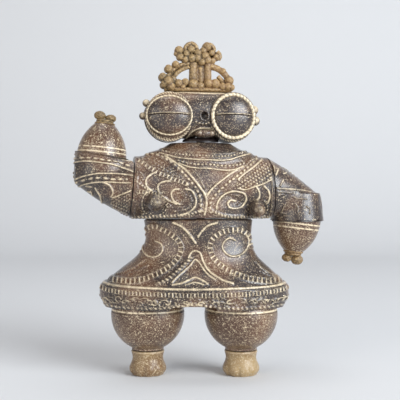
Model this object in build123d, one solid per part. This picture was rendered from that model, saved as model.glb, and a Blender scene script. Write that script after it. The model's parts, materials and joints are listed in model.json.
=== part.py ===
from build123d import *
from math import asin, cos, degrees, radians, sin, sqrt, tan
import os

# Jointed goggle-eyed clay-style figurine, moulded in plastic.
# Millimetres. +Z is up, the figure faces -Y, and "right" and "left" are the figure's own sides,
# so its right arm (raised) is on the -X side. The origin is on the floor, under the waist's turning axis.

# ---- driving dimensions -------------------------------------------------------------------------

# running parts of every joint
run_gap = 0.05  # radial clearance of a stem in its bush and of an eye on its pin
side_gap = 0.3  # clearance beside an eye, above a flange and around a stem in its slot
stem_r = 1.6
flange_r = 2.6
flange_t = 1.2
bush_wall = 1.6
bush_len = 3.0
eye_r = 2.8
eye_t = 3.0
pin_r = 1.0
pin_len = 10.0
seam_gap = 0.35  # gap between two faces that turn on each other
pocket_gap = 0.35  # gap between a ball-shaped limb top and its pocket

# hips and skirt
waist_z = 60.3
waist_half_x = 21.6
waist_half_y = 12.2
waist_shift = -0.9  # the waist's centre, sideways from the turning axis
flank_z = 52.0
flank_half_x = 21.2
flank_half_y = 11.8
flare_z = 41.5
flare_half_x = 29.4
flare_half_y = 14.8
hem_top_z = 34.9
hem_half_x = 37.2
hem_half_y = 20.0
hem_shift = -2.4  # the hem's centre, sideways from the turning axis
hem_z = 26.8
hem_edge = 1.5  # how far below its upper edge the hem is widest
hem_step_z = 3.3  # height of the step above that, over which the skirt draws in
hem_step_x = 2.0
hem_step_y = 1.0
flare_shift = -1.9
hem_tuck = 2.6  # how far the hem draws in at its lower edge
band_bow = 0.4  # the hem's bow: at this share of its height
band_out = 0.8  # it has this share of its full width
arch_rise = 3.0  # the hem's lower edge rises between the legs
arch_half_x = 9.0
skirt_core_r = 6.5
skirt_core_z = 44.0

# legs and feet
leg_spacing = 36.4
hip_z = 23.6  # height of the centre of a leg's ball-shaped top
leg_r = 14.3
leg_top = 9.0  # flat top of a leg above its ball's centre
leg_ring_rise = 1.4  # the ring groove's height above a leg's centre
leg_ring_depth = 0.5
leg_ring_half = 0.3
ankle_z = 10.0
ankle_r = 6.2
leg_egg_drop = 12.9  # how far below its centre a leg narrows to the ankle
foot_top_r = 6.4
foot_waist_r = 6.1
foot_r = 7.3
foot_bulge_z = 2.9
foot_waist_share = 0.8  # the foot is narrowest at this share of its height
sole_r = 5.4
ankle_peg_r = 1.6
ankle_peg_depth = 4.5  # into the foot, and as far into the leg
hip_swing_limit = 30.0
waist_peg_depth = 5.0

# chest and collar
chest_yaw = 9.0  # the chest is stored turned by this on the waist
barrel_r = 12.35
barrel_z = 72.9
seam_half_x = 26.9
shoulder_tilt = 4.5  # outer ends of the shoulder axes point up by this
belly_half_x = 28.6
belly_half_y = 11.6
belly_rise = 4.0  # the belly reaches its full depth this far above the chest's floor
belly_draw_in = 1.0  # and is narrower again by this at the barrel's axis
chest_half_y = 12.6
collar_root_z = 76.0  # inside the barrel, so that the collar rises out of it without a ledge
collar_root_x = 25.3
collar_root_y = 10.9
collar_low_z = 83.4
collar_low_x = 24.8
collar_low_y = 9.9
collar_mid_z = 87.6
collar_mid_x = 20.2
collar_mid_y = 8.6
collar_top_z = 90.0
collar_top_x = 16.4
collar_top_y = 6.6
breast_r = 4.4
breast_spread = 20.6
breast_sink = 0.6  # how far a breast's centre lies inside the barrel's front
breast_right_z = 66.6
breast_left_z = 64.6
chest_core_r = 6.0
chest_core_x = 9.5

# arms: along the shoulder axis is "reach", across it towards the hand is "drop"
sleeve_end_r = 4.5
sleeve_reach_right = 21.8
sleeve_reach_left = 20.8
sleeve_drop_right = 3.4  # where the sleeve's narrow end lies across the shoulder axis
sleeve_drop_left = 8.8
elbow_reach_right = 12.4
elbow_reach_left = 11.0
elbow_drop_right = 10.3
elbow_drop_left = 13.3
cuff_r = 11.1
cuff_top_r = 9.6
cuff_lip = 0.9  # the cuff's rim beyond the elbow's centre
cuff_len = 10.8  # the cuff's straight wall above the elbow's centre
forearm_r = 9.5
forearm_top = 3.2  # flat top of a forearm inside its cuff
forearm_egg_drop = 12.9  # how far below its centre a forearm narrows to the wrist
forearm_len = 13.2
wrist_r = 3.8
forearm_lean_right = -4.0  # the stored bend of a forearm, inwards positive
forearm_lean_left = 6.0
elbow_bend_limit = 8.0
hand_ring_r = 3.9
hand_ring_t = 1.0
hand_peg_r = 1.3
hand_peg_len = 2.5
finger_r = 2.2
finger_spread = 4.3
finger_sink = 0.7  # how far a finger's ball lies in the hand's ring
shoulder_peg_depth = 6.0

# head and crown
neck_len = 5.2  # the nodding pin above the collar's top
head_rise = 10.6  # the head's middle above the collar's top
head_half_x = 21.4
head_half_y = 9.6
head_half_z = 9.6
goggle_spread = 12.0
goggle_drop = 0.3  # heights on the head are taken from its middle
goggle_turn = 4.0  # each goggle faces outwards by this
goggle_r = 9.3
goggle_back_y = 4.0
goggle_front_y = 7.6
goggle_taper = 0.9
goggle_rim = 0.8
lens_r = 8.1
lens_bulge = 3.4
slit_t = 0.5
slit_half_x = 6.2
nose_r = 2.5
nose_hole_r = 0.85
nose_y = -8.4
mouth_half_x = 4.6
mouth_half_z = 2.3
mouth_y = -7.6
mouth_drop = 7.0
ear_r = 2.1
ear_x = 22.3
ear_low_rise = 0.3
ear_high_rise = 4.8
head_core_r = 5.2
head_core_x = 12.0
nod_limit = 6.0

crown_sink = 0.6  # the flat that the crown stands on, below the head's round top
crown_height = 20.4
crown_half_x = 14.3
crown_shift = -1.7
crown_ball_r = 1.75
crown_end_ball_r = 1.85
crown_slab_h = 3.15
crown_base_balls = 7
crown_slab_y = 6.4
arch_foot_rise = 3.0  # heights on the crown are taken from its base
arch_rise = 9.8
arch_bar_r = 1.2
crown_arch_balls = (32.0, 55.0)  # where balls sit along an arch, in degrees up from its foot
groove_half_x = 0.9
column_half_x = 4.2
column_y = 5.0
rosette_r = 3.0
rosette_spread = 3.4
rosette_y = 1.6
rosette_half_t = 1.7
crown_cluster = ((7.9, 4.6), (5.4, 5.9), (3.0, 8.2), (1.4, 6.4))  # small balls: sideways, and below the top
knob_r = 1.65
rosette_knob_r = 1.3

# ---- values worked out from them -----------------------------------------------------------------

head_pivot_z = collar_top_z + neck_len
head_mid_z = collar_top_z + head_rise
goggle_z = head_mid_z - goggle_drop
mouth_z = head_mid_z - mouth_drop
crown_base_z = head_mid_z + head_half_z - crown_sink
crown_top_z = crown_base_z + crown_height
arch_foot_z = crown_base_z + arch_foot_rise
arch_z = crown_base_z + arch_rise
bush_r = stem_r + run_gap + bush_wall
chamber_r = flange_r + side_gap
chamber_h = flange_t + 2 * side_gap
widest_z = hem_top_z - hem_edge
pocket_leg_r = leg_r + pocket_gap
pocket_arm_r = forearm_r + pocket_gap
hip_x = {"right": hem_shift - leg_spacing / 2, "left": hem_shift + leg_spacing / 2}
side_sign = {"right": -1, "left": 1}
chest_floor_z = waist_z + seam_gap
breast_z = {"right": breast_right_z, "left": breast_left_z}
sleeve_reach = {"right": sleeve_reach_right, "left": sleeve_reach_left}
sleeve_drop = {"right": sleeve_drop_right, "left": sleeve_drop_left}
elbow_reach = {"right": elbow_reach_right, "left": elbow_reach_left}
elbow_drop = {"right": elbow_drop_right, "left": elbow_drop_left}
arm_up = {"right": 1, "left": -1}  # the stored pose: right arm raised, left arm lowered
forearm_lean = {"right": forearm_lean_right, "left": forearm_lean_left}
elbow_face = forearm_top + forearm_r * sin(radians(elbow_bend_limit)) + pocket_gap
hip_face_z = hip_z + sqrt(pocket_leg_r**2 - bush_r**2)
upper_turn = Rot(0, 0, chest_yaw)


# ---- small tools ---------------------------------------------------------------------------------


def rod(radius, low, high):
    """A cylinder on the local Z axis from one height to another."""
    return Pos(0, 0, (low + high) / 2) * Cylinder(radius, high - low)


def block(half_x, half_y, low, high):
    """A box about the local Z axis from one height to another."""
    return Pos(0, 0, (low + high) / 2) * Box(2 * half_x, 2 * half_y, high - low)


def ellipsoid(half_x, half_y, half_z):
    """A ball stretched to three half sizes."""
    return scale(Sphere(1), by=(half_x, half_y, half_z))


def stack(sections):
    """A smooth solid through flat ellipses: (height, half x, half y, shift in x) each."""
    faces = [Pos(shift, 0, z) * Ellipse(half_x, half_y) for z, half_x, half_y, shift in sections]
    return loft(faces)


def spun(edges):
    """A solid of revolution about Z, from an outline drawn as (radius, height)."""
    return revolve(Rot(90, 0, 0) * make_face(edges), Axis.Z)


def front_half(solid):
    """The part of a solid on the -Y side of its middle plane."""
    return solid & (Pos(0, -200, 0) * Box(400, 400, 400))


def back_half(solid):
    """The part of a solid on the +Y side of its middle plane."""
    return solid & (Pos(0, 200, 0) * Box(400, 400, 400))


# ---- the joints' own parts -----------------------------------------------------------------------
# Each is made on the local Z axis: the turning face is at height 0 and the parent lies above it.


def bush():
    """A plain ring that a stem turns in."""
    return rod(bush_r, 0, bush_len) - rod(stem_r + run_gap, 0, bush_len)


def bush_seat():
    """What a parent leaves open: the bush's bore, and a chamber for the stem's flange."""
    return rod(bush_r, 0, bush_len) + rod(chamber_r, bush_len, bush_len + chamber_h)


def stem(low):
    """A stem from a depth below the face, through the bush, to the flange that keeps it in."""
    shaft = rod(stem_r, low, bush_len + side_gap)
    return shaft + rod(flange_r, bush_len + side_gap, bush_len + side_gap + flange_t)


def link(drop):
    """A stem whose lower end is an eye, at a distance below the face, for a cross pin along X."""
    eye = Rot(0, 90, 0) * Cylinder(eye_r, eye_t)
    bore = Rot(0, 90, 0) * Cylinder(pin_r + run_gap, 2 * eye_t)
    neck = block(eye_t / 2, stem_r, -drop, 0) & rod(stem_r, -drop, 0)
    return stem(-drop + eye_r / 2) + neck + Pos(0, 0, -drop) * eye - Pos(0, 0, -drop) * bore


def cross_pin():
    """The hinge pin through a link's eye, along X, at the local origin."""
    return Rot(0, 90, 0) * Cylinder(pin_r, pin_len)


def eye_slot(top, angle):
    """What a limb leaves open round its link: a slot as wide as the eye and long enough to swing in."""
    reach = (stem_r + side_gap) / cos(radians(angle)) + top * tan(radians(angle))
    half_x = eye_t / 2 + side_gap
    return block(half_x, max(reach, eye_r + side_gap), -eye_r - side_gap, top) + cross_pin()


# ---- hips ----------------------------------------------------------------------------------------

waist_face = Location((0, 0, waist_z), (180, 0, 0))


def skirt_block():
    """Waist, flank, flare and hem in one piece, before it is opened for the joints."""
    upper = stack(
        [
            (widest_z, hem_half_x, hem_half_y, hem_shift),
            (widest_z + hem_step_z, hem_half_x - hem_step_x, hem_half_y - hem_step_y, hem_shift),
            (flare_z, flare_half_x, flare_half_y, flare_shift),
            (flank_z, flank_half_x, flank_half_y, waist_shift),
            (waist_z, waist_half_x, waist_half_y, waist_shift),
        ]
    )
    bow_z = hem_z + band_bow * (widest_z - hem_z)
    low_half_x = hem_half_x - hem_tuck
    low_half_y = hem_half_y - hem_tuck / 2
    band = stack(
        [
            (hem_z, low_half_x, low_half_y, hem_shift),
            (bow_z, low_half_x + band_out * hem_tuck, low_half_y + band_out * hem_tuck / 2, hem_shift),
            (widest_z, hem_half_x, hem_half_y, hem_shift),
        ]
    )
    arch = Pos(hem_shift, 0, hem_z) * Rot(90, 0, 0) * scale(
        Cylinder(1, 4 * hem_half_y), by=(arch_half_x, arch_rise, 1)
    )
    return upper + band - arch


def make_skirt():
    body = skirt_block() - Pos(hem_shift / 2, 0, skirt_core_z) * Sphere(skirt_core_r)
    body -= waist_face * bush_seat()
    for x in hip_x.values():
        body -= Pos(x, 0, hip_z) * Sphere(pocket_leg_r)
        body -= Pos(x, 0, hip_face_z) * bush_seat()
    return {"skirt_front": front_half(body), "skirt_back": back_half(body), "waist_bush": waist_face * bush()}


# ---- legs and feet ------------------------------------------------------------------------------


def limb_outline(ball_r, top, end_r, egg_drop, end_drop):
    """Half outline of a limb: a flat top, half a ball, an arc that narrows to its end, and a short neck."""
    top_angle = degrees(asin(top / ball_r))
    return (
        Line((0, top), (ball_r * cos(radians(top_angle)), top))
        + CenterArc((0, 0), ball_r, 0, top_angle)
        + TangentArc((ball_r, 0), (end_r, -egg_drop), tangent=(0, -1))
        + Polyline((end_r, -egg_drop), (end_r, -end_drop), (0, -end_drop), (0, top))
    )


def make_leg(side):
    """A leg with its hinge pin, on the hip's centre."""
    drop = hip_z - ankle_z
    body = spun(limb_outline(leg_r, leg_top, ankle_r, leg_egg_drop, drop))
    groove = rod(2 * leg_r, leg_ring_rise - leg_ring_half, leg_ring_rise + leg_ring_half)
    groove -= rod(leg_r - leg_ring_depth, -leg_r, leg_r)
    body -= groove + eye_slot(leg_top, hip_swing_limit)
    body -= rod(ankle_peg_r + run_gap, -drop, -drop + ankle_peg_depth + side_gap)
    place = Pos(hip_x[side], 0, hip_z)
    return {
        f"leg_{side}": place * body,
        f"hip_pin_{side}": place * cross_pin(),
        f"hip_bush_{side}": Pos(hip_x[side], 0, hip_face_z) * bush(),
        f"hip_link_{side}": Pos(hip_x[side], 0, hip_face_z) * link(hip_face_z - hip_z),
    }


def make_foot(side):
    """A flared foot with a flat sole, and the peg that it turns on."""
    top_z = ankle_z - seam_gap
    edge = Spline(
        (sole_r, 0),
        (foot_r, foot_bulge_z),
        (foot_waist_r, foot_waist_share * top_z),
        (foot_top_r, top_z),
        tangents=((0.8, 0.6), (0.3, 1.0)),
    )
    outline = edge + Polyline((foot_top_r, top_z), (0, top_z), (0, 0), (sole_r, 0))
    peg = rod(ankle_peg_r, top_z - ankle_peg_depth, ankle_z + ankle_peg_depth)
    place = Pos(hip_x[side], 0, 0)
    return {f"foot_{side}": place * (spun(outline) - peg), f"ankle_peg_{side}": place * peg}


# ---- chest ---------------------------------------------------------------------------------------

neck_face = Location((0, 0, collar_top_z), (180, 0, 0))


def shoulder_place(side):
    """The shoulder axis in the chest's own frame: local Z runs inwards from the chest's seam face."""
    sign = side_sign[side]
    return Pos(sign * seam_half_x, 0, barrel_z) * Rot(0, -sign * (90 + shoulder_tilt), 0)


def waist_post():
    """The waist's peg: its flange in the skirt and its stem up into the chest."""
    return waist_face * (stem(0) + rod(stem_r, waist_z - chest_floor_z - waist_peg_depth, 0))


def make_chest():
    barrel = Pos(0, 0, barrel_z) * Rot(0, 90, 0) * Cylinder(barrel_r, 4 * seam_half_x)
    belly = stack(
        [
            (chest_floor_z, belly_half_x, belly_half_y, 0),
            (chest_floor_z + belly_rise, belly_half_x, chest_half_y, 0),
            (barrel_z, belly_half_x - belly_draw_in, chest_half_y, 0),
        ]
    )
    collar = stack(
        [
            (collar_root_z, collar_root_x, collar_root_y, 0),
            (collar_low_z, collar_low_x, collar_low_y, 0),
            (collar_mid_z, collar_mid_x, collar_mid_y, 0),
            (collar_top_z, collar_top_x, collar_top_y, 0),
        ]
    )
    body = barrel + belly + collar
    for side, sign in side_sign.items():
        body += Pos(sign * breast_spread, breast_sink - barrel_r, breast_z[side]) * Sphere(breast_r)
    body &= block(4 * seam_half_x, 4 * seam_half_x, chest_floor_z, collar_top_z)
    for side, sign in side_sign.items():
        body -= shoulder_place(side) * rod(4 * barrel_r, -4 * seam_half_x, 0)
        body -= shoulder_place(side) * bush_seat()
        body -= Pos(sign * chest_core_x, 0, barrel_z) * Sphere(chest_core_r)
    body -= Pos(0, 0, chest_floor_z) * rod(stem_r, -1, waist_peg_depth)
    body -= neck_face * bush_seat()
    parts = {
        "chest_front": front_half(body),
        "chest_back": back_half(body),
        "waist_peg": waist_post(),
        "neck_bush": neck_face * bush(),
    }
    for side in side_sign:
        parts[f"shoulder_bush_{side}"] = shoulder_place(side) * bush()
    return parts


# ---- arms ----------------------------------------------------------------------------------------
# An arm is drawn on the shoulder axis: local Z outwards, local X towards the hand.


def arm_place(side):
    """An arm's own frame in the chest's: the right arm is turned half round its axis from the left."""
    sign = side_sign[side]
    tilt = radians(shoulder_tilt)
    outward = Vector(sign * cos(tilt), 0, sin(tilt))
    handward = Vector(-sign * sin(tilt), 0, cos(tilt)) * arm_up[side]
    return Plane((sign * seam_half_x, 0, barrel_z), x_dir=handward, z_dir=outward).location


elbow_pin_turn = Rot(0, 0, 90)


def elbow_place(side):
    """The elbow's centre in the arm's frame: local Z runs back into the cuff."""
    return Pos(elbow_drop[side], 0, elbow_reach[side]) * Rot(0, shoulder_tilt - 90, 0)


def make_sleeve(side):
    """The upper arm's two half shells: a slanting sleeve that ends in a cuff."""
    seam = Pos(0, 0, seam_gap) * Circle(barrel_r)
    narrow = Pos(sleeve_drop[side], 0, sleeve_reach[side]) * Circle(sleeve_end_r)
    elbow = elbow_place(side)
    cuff = Pos(0, 0, (cuff_len - cuff_lip) / 2) * Cone(cuff_r, cuff_top_r, cuff_len + cuff_lip)
    body = loft([seam, narrow]) + elbow * cuff
    body -= rod(4 * barrel_r, -4 * barrel_r, seam_gap)
    body -= elbow * (Sphere(pocket_arm_r) & rod(cuff_r, -cuff_r, elbow_face))
    body -= elbow * Pos(0, 0, elbow_face) * bush_seat()
    return body - rod(stem_r, 0, shoulder_peg_depth)


def make_arm(side):
    """One arm's pieces in the chest's frame."""
    sleeve = make_sleeve(side)
    elbow = elbow_place(side)
    bend = elbow * Rot(0, forearm_lean[side], 0)
    outline = limb_outline(forearm_r, forearm_top, wrist_r, forearm_egg_drop, forearm_len)
    slot = elbow_pin_turn * eye_slot(forearm_top, elbow_bend_limit + abs(forearm_lean[side]))
    hand_peg = rod(hand_peg_r, -forearm_len, -forearm_len + hand_peg_len)
    hand = hand_peg + rod(hand_ring_r, -forearm_len - hand_ring_t, -forearm_len)
    for across in (-1, 1):
        drop = forearm_len + hand_ring_t + finger_r - finger_sink
        hand += Pos(across * finger_spread / 2, 0, -drop) * Sphere(finger_r)
    parts = {
        f"sleeve_front_{side}": front_half(sleeve),
        f"sleeve_back_{side}": back_half(sleeve),
        f"shoulder_peg_{side}": Rot(180, 0, 0) * stem(-shoulder_peg_depth),
        f"elbow_bush_{side}": elbow * Pos(0, 0, elbow_face) * bush(),
        f"elbow_link_{side}": elbow * Pos(0, 0, elbow_face) * elbow_pin_turn * link(elbow_face),
        f"elbow_pin_{side}": bend * elbow_pin_turn * cross_pin(),
        f"forearm_{side}": bend * (spun(outline) - slot - hand_peg),
        f"hand_{side}": bend * hand,
    }
    return {name: arm_place(side) * solid for name, solid in parts.items()}


# ---- head and crown ------------------------------------------------------------------------------


def make_goggle(sign):
    """One great goggle eye: a drum with a raised rim and a domed lens crossed by a slit."""
    face = Pos(sign * goggle_spread, 0, goggle_z) * Rot(0, 0, sign * goggle_turn) * Rot(90, 0, 0)
    depth = goggle_front_y + goggle_back_y
    drum = Pos(0, 0, (goggle_front_y - goggle_back_y) / 2) * Cone(goggle_r, goggle_r - goggle_taper, depth)
    rim = Pos(0, 0, goggle_front_y) * Torus(goggle_r - goggle_taper, goggle_rim)
    lens = Pos(0, 0, goggle_front_y) * ellipsoid(lens_r, lens_r, lens_bulge)
    slit = Pos(0, 0, goggle_front_y + lens_bulge) * Box(2 * slit_half_x, slit_t, lens_bulge)
    return face * (drum + rim + (lens - slit))


def make_head():
    body = Pos(0, 0, head_mid_z) * ellipsoid(head_half_x, head_half_y, head_half_z)
    for sign in side_sign.values():
        body += make_goggle(sign)
        for rise in (ear_low_rise, ear_high_rise):
            body += Pos(sign * ear_x, 0, head_mid_z + rise) * Sphere(ear_r)
    body += Pos(0, nose_y, goggle_z) * Sphere(nose_r)
    body -= Pos(0, nose_y - nose_r, goggle_z) * Rot(90, 0, 0) * Cylinder(nose_hole_r, nose_r)
    body += Pos(0, mouth_y, mouth_z) * ellipsoid(mouth_half_x, mouth_half_z, mouth_half_z)
    body &= block(4 * head_half_x, 4 * head_half_x, collar_top_z, crown_base_z)
    body -= Pos(0, 0, head_pivot_z) * Rot(180, 0, 0) * eye_slot(head_pivot_z - collar_top_z, nod_limit)
    for sign in side_sign.values():
        body -= Pos(sign * head_core_x, 0, head_mid_z) * Sphere(head_core_r)
    return {
        "head_front": front_half(body),
        "head_back": back_half(body),
        "neck_pin": Pos(0, 0, head_pivot_z) * cross_pin(),
        "neck_link": neck_face * link(head_pivot_z - collar_top_z),
        "crown": make_crown(),
    }


def bead(x, y, z, radius):
    """A ball at a place."""
    return Pos(x, y, z) * Sphere(radius)


def crown_arch():
    """Half of the bar that springs from the crown's side to its column."""
    run = crown_half_x - crown_ball_r
    curve = EllipticalCenterArc((0, 0), run, arch_z - arch_foot_z, start_angle=0, arc_size=90)
    path = Pos(0, 0, arch_foot_z) * Rot(90, 0, 0) * curve
    return sweep(Pos(run, 0, arch_foot_z) * Circle(arch_bar_r), path=path)


def make_rosette(sign):
    """A round boss with a knob at its middle."""
    boss = ellipsoid(rosette_r, rosette_r, rosette_half_t)
    face = Pos(sign * rosette_spread, -rosette_y, crown_top_z - rosette_r) * Rot(90, 0, 0)
    return face * (boss + Pos(0, 0, rosette_half_t) * Sphere(rosette_knob_r))


def make_crown():
    """The openwork crown: a beaded base, two arches to a grooved column, and two rosettes on top."""
    span = 2 * (crown_half_x - crown_ball_r)
    column_top = arch_z + arch_bar_r
    crown = block(span / 2, crown_slab_y / 2, crown_base_z, crown_base_z + crown_slab_h)
    crown += block(column_half_x, column_y / 2, crown_base_z, column_top)
    groove = block(groove_half_x, groove_half_x, crown_base_z + 2 * crown_slab_h, column_top)
    crown -= Pos(0, -column_y / 2, 0) * groove
    for i in range(crown_base_balls):
        x = -span / 2 + i * span / (crown_base_balls - 1)
        crown += bead(x, -crown_slab_y / 2, crown_base_z + crown_slab_h, crown_ball_r)
    crown += block(column_half_x / 2, column_y / 4, column_top, crown_top_z - rosette_r)
    for sign in side_sign.values():
        crown += Rot(0, 0, 90 - 90 * sign) * crown_arch()
        crown += bead(sign * crown_half_x, 0, arch_foot_z + crown_ball_r, crown_end_ball_r)
        for along in crown_arch_balls:
            turn = radians(along)
            x = sign * (span / 2) * cos(turn)
            z = arch_foot_z + (arch_z - arch_foot_z) * sin(turn)
            crown += bead(x + sign * arch_bar_r * cos(turn), 0, z + arch_bar_r * sin(turn), knob_r)
        crown += make_rosette(sign)
        for x, below_top in crown_cluster:
            crown += bead(sign * x, -rosette_y / 2, crown_top_z - below_top, knob_r)
    return Pos(crown_shift, 0, 0) * crown


# ---- all pieces ----------------------------------------------------------------------------------


def all_parts():
    parts = make_skirt()
    for side in side_sign:
        parts.update(make_leg(side))
        parts.update(make_foot(side))
    upper = make_chest()
    upper.update(make_head())
    for side in side_sign:
        upper.update(make_arm(side))
    parts.update({name: upper_turn * solid for name, solid in upper.items()})
    return parts


os.makedirs("parts", exist_ok=True)
for node, solid in all_parts().items():
    export_step(solid, f"parts/{node}.step")
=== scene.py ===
import json
import math

import bpy
import numpy as np
from bpy.props import FloatProperty, FloatVectorProperty, PointerProperty
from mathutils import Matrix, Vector


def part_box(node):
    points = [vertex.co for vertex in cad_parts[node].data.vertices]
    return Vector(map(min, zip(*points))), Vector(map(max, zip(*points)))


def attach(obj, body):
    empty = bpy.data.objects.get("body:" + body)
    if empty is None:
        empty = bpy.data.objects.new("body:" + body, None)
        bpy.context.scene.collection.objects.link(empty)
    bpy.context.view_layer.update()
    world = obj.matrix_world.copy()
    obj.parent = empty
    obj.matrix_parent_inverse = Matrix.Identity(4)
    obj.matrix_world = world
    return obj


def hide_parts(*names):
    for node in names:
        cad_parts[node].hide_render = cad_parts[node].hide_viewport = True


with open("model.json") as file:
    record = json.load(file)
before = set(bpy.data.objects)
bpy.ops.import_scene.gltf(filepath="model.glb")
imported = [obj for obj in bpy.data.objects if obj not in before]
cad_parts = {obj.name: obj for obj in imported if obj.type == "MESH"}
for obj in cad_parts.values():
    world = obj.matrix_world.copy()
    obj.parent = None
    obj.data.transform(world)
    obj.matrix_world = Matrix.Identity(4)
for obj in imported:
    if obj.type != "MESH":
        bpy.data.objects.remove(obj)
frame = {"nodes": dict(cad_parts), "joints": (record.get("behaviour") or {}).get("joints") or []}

bl_info = {
    "name": "Goggle-eyed jointed figurine",
    "version": (1, 0, 0),
    "blender": (4, 5, 0),
    "location": "View3D > Sidebar > Figurine",
    "description": "Builds the figurine's relief-covered shells, crown, hands, feet, paint and stage",
    "category": "Object",
}

# Lengths of the pieces are millimetres, and put() turns them to metres; those of paint and stage are
# metres.
MM = 0.001
SIDES = {"right": -1, "left": 1}
STEP = 8  # a shell's inside is this much coarser than its outside
CREASE = math.radians(42)  # edges sharper than this stay crisp

# The melted pieces: rounds of smoothing, and more of them for the coarse skin; the height of a point on it;
# then how much lighter a crumb makes it, how deep the crumbs' hollows are, and where their tops are cut.
SOFTEN_ROUNDS, COARSE_ROUNDS, MIDDLE_HEIGHT = 4, 40, 0.42
CRUMB_LIGHT, CRUMB_DEPTH, CRUMB_TOP = 0.35, 0.22, 0.25

# ---- places read from the frame -------------------------------------------------------------------

JOINT = {j["name"]: j for j in frame["joints"]}


def joint_place(name):
    """Where a joint's axis stands."""
    return np.array(JOINT[name]["pos_m"], float) / MM


def joint_axis(name):
    """The direction of a joint's axis."""
    return np.array(JOINT[name]["axis"], float)


def box(node):
    """Lowest and highest corner of a CAD node."""
    return tuple(np.array(corner, float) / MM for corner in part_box(node))


def unit(v):
    """Vectors scaled to length one along the last axis."""
    return v / np.maximum(np.linalg.norm(v, axis=-1, keepdims=True), 1e-9)


class Place:
    """A local frame: an origin and a matrix whose columns are its three axes."""

    def __init__(self, origin, x, y):
        self.origin = np.asarray(origin, float)
        self.axes = np.stack([x, y, np.cross(x, y)], axis=1)

    def out(self, points):
        """Local points in the row frame."""
        return points @ self.axes.T + self.origin

    def inner(self, points):
        """Row-frame points in this frame."""
        return (points - self.origin) @ self.axes


ACROSS = joint_axis("head_nod")
BACK = np.cross([0, 0, 1], ACROSS)
UPPER = Place((0, 0, 0), ACROSS, BACK)
HOME = Place((0, 0, 0), np.eye(3)[0], np.eye(3)[1])
SHOULDER = {side: joint_axis(f"shoulder_swing_{side}") for side in SIDES}
ARM = {s: Place(joint_place(f"shoulder_swing_{s}"), np.cross(BACK, SHOULDER[s]), BACK) for s in SIDES}
CUFF_UP = {side: joint_axis(f"elbow_twist_{side}") for side in SIDES}
CUFF = {s: Place(joint_place(f"elbow_twist_{s}"), np.cross(BACK, CUFF_UP[s]), BACK) for s in SIDES}

# ---- curves and fields ----------------------------------------------------------------------------


def ramp(values, keys):
    """A smooth curve through (value, height) keys, a cubic in each span."""
    at, out = np.asarray(keys, float).T
    slope = np.gradient(out, at)
    i = np.clip(np.searchsorted(at, values) - 1, 0, len(at) - 2)
    width = at[i + 1] - at[i]
    t = np.clip((values - at[i]) / width, 0, 1)
    start = (2 * t**3 - 3 * t**2 + 1) * out[i] + (t**3 - 2 * t**2 + t) * width * slope[i]
    return start + (3 * t**2 - 2 * t**3) * out[i + 1] + (t**3 - t**2) * width * slope[i + 1]


def curve(keys, count=60):
    """Points evenly along a smooth curve through keys."""
    keys = np.asarray(keys, float)
    at = np.concatenate([[0], np.cumsum(np.linalg.norm(np.diff(keys, axis=0), axis=1))])
    if len(keys) == 2:
        return keys
    fine = np.linspace(0, at[-1], count)
    return np.stack([ramp(fine, np.stack([at, k], axis=1)) for k in keys.T], axis=1)


def spiral(centre, r_in, r_out, turns, start, count=64):
    """A flat spiral from its inner radius to its outer one; start is its inner end's angle in degrees."""
    t = np.linspace(0, 1, count)
    angle = math.radians(start) + 2 * math.pi * turns * t
    r = r_in + (r_out - r_in) * t
    return np.stack([centre[0] + r * np.cos(angle), centre[1] + r * np.sin(angle)], axis=1)


def smooth_min(a, b, k):
    """The lower of two distances, rounded over a width k where they meet."""
    h = np.clip(0.5 + 0.5 * (b - a) / k, 0, 1)
    return b * (1 - h) + a * h - k * h * (1 - h)


def ball(p, centre, radii):
    """Rough distance to an ellipsoid, negative inside."""
    radii = np.asarray(radii, float)
    return (np.linalg.norm((p - centre) / radii, axis=-1) - 1) * radii.min()


def cast(field, start, direction, far=40.0, steps=64, halvings=12):
    """Where rays last leave a solid: the outermost step that is inside, then halved down to the surface."""
    shape = np.broadcast_shapes(start.shape, direction.shape)
    start, direction = np.broadcast_to(start, shape), np.broadcast_to(direction, shape)
    t = np.linspace(0, far, steps)
    last = np.zeros(shape[:-1], int)
    for i, s in enumerate(t):
        last = np.where(field(start + direction * s) < 0, i, last)
    low, high = t[last], t[np.minimum(last + 1, steps - 1)]
    for _ in range(halvings):
        middle = (low + high) / 2
        within = field(start + direction * middle[..., None]) < 0
        low, high = np.where(within, middle, low), np.where(within, high, middle)
    return start + direction * low[..., None]


# ---- meshes ---------------------------------------------------------------------------------------


def grid_tris(rows, cols):
    """Triangles over a grid of points, row by row."""
    r = np.arange(rows - 1)[:, None] * cols
    c = np.arange(cols - 1)[None, :]
    quads = np.stack([r + c, r + c + 1, r + c + 1 + cols, r + c + cols], axis=-1).reshape(-1, 4)
    return np.concatenate([quads[:, [0, 1, 2]], quads[:, [0, 2, 3]]])


def facing(points, tris, height):
    """A closed part with its faces outwards, told by the sign of its volume."""
    a, b, c = (points[tris[:, i]] - points.mean(axis=0) for i in range(3))
    return points, (tris if np.sum(a * np.cross(b, c)) > 0 else tris[:, ::-1]), height


def surface(grid, height=0.0):
    """A closed grid of points as one part: points, triangles and the relief height at each point."""
    heights = np.broadcast_to(height, grid.shape[:2]).ravel()
    return facing(grid.reshape(-1, 3), grid_tris(*grid.shape[:2]), heights)


def outward(grid):
    """Unit normals of a grid, pointing away from its middle."""
    n = unit(np.cross(np.gradient(grid, axis=1), np.gradient(grid, axis=0)))
    return n if np.sum(n * (grid - grid.mean(axis=(0, 1)))) > 0 else -n


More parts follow.
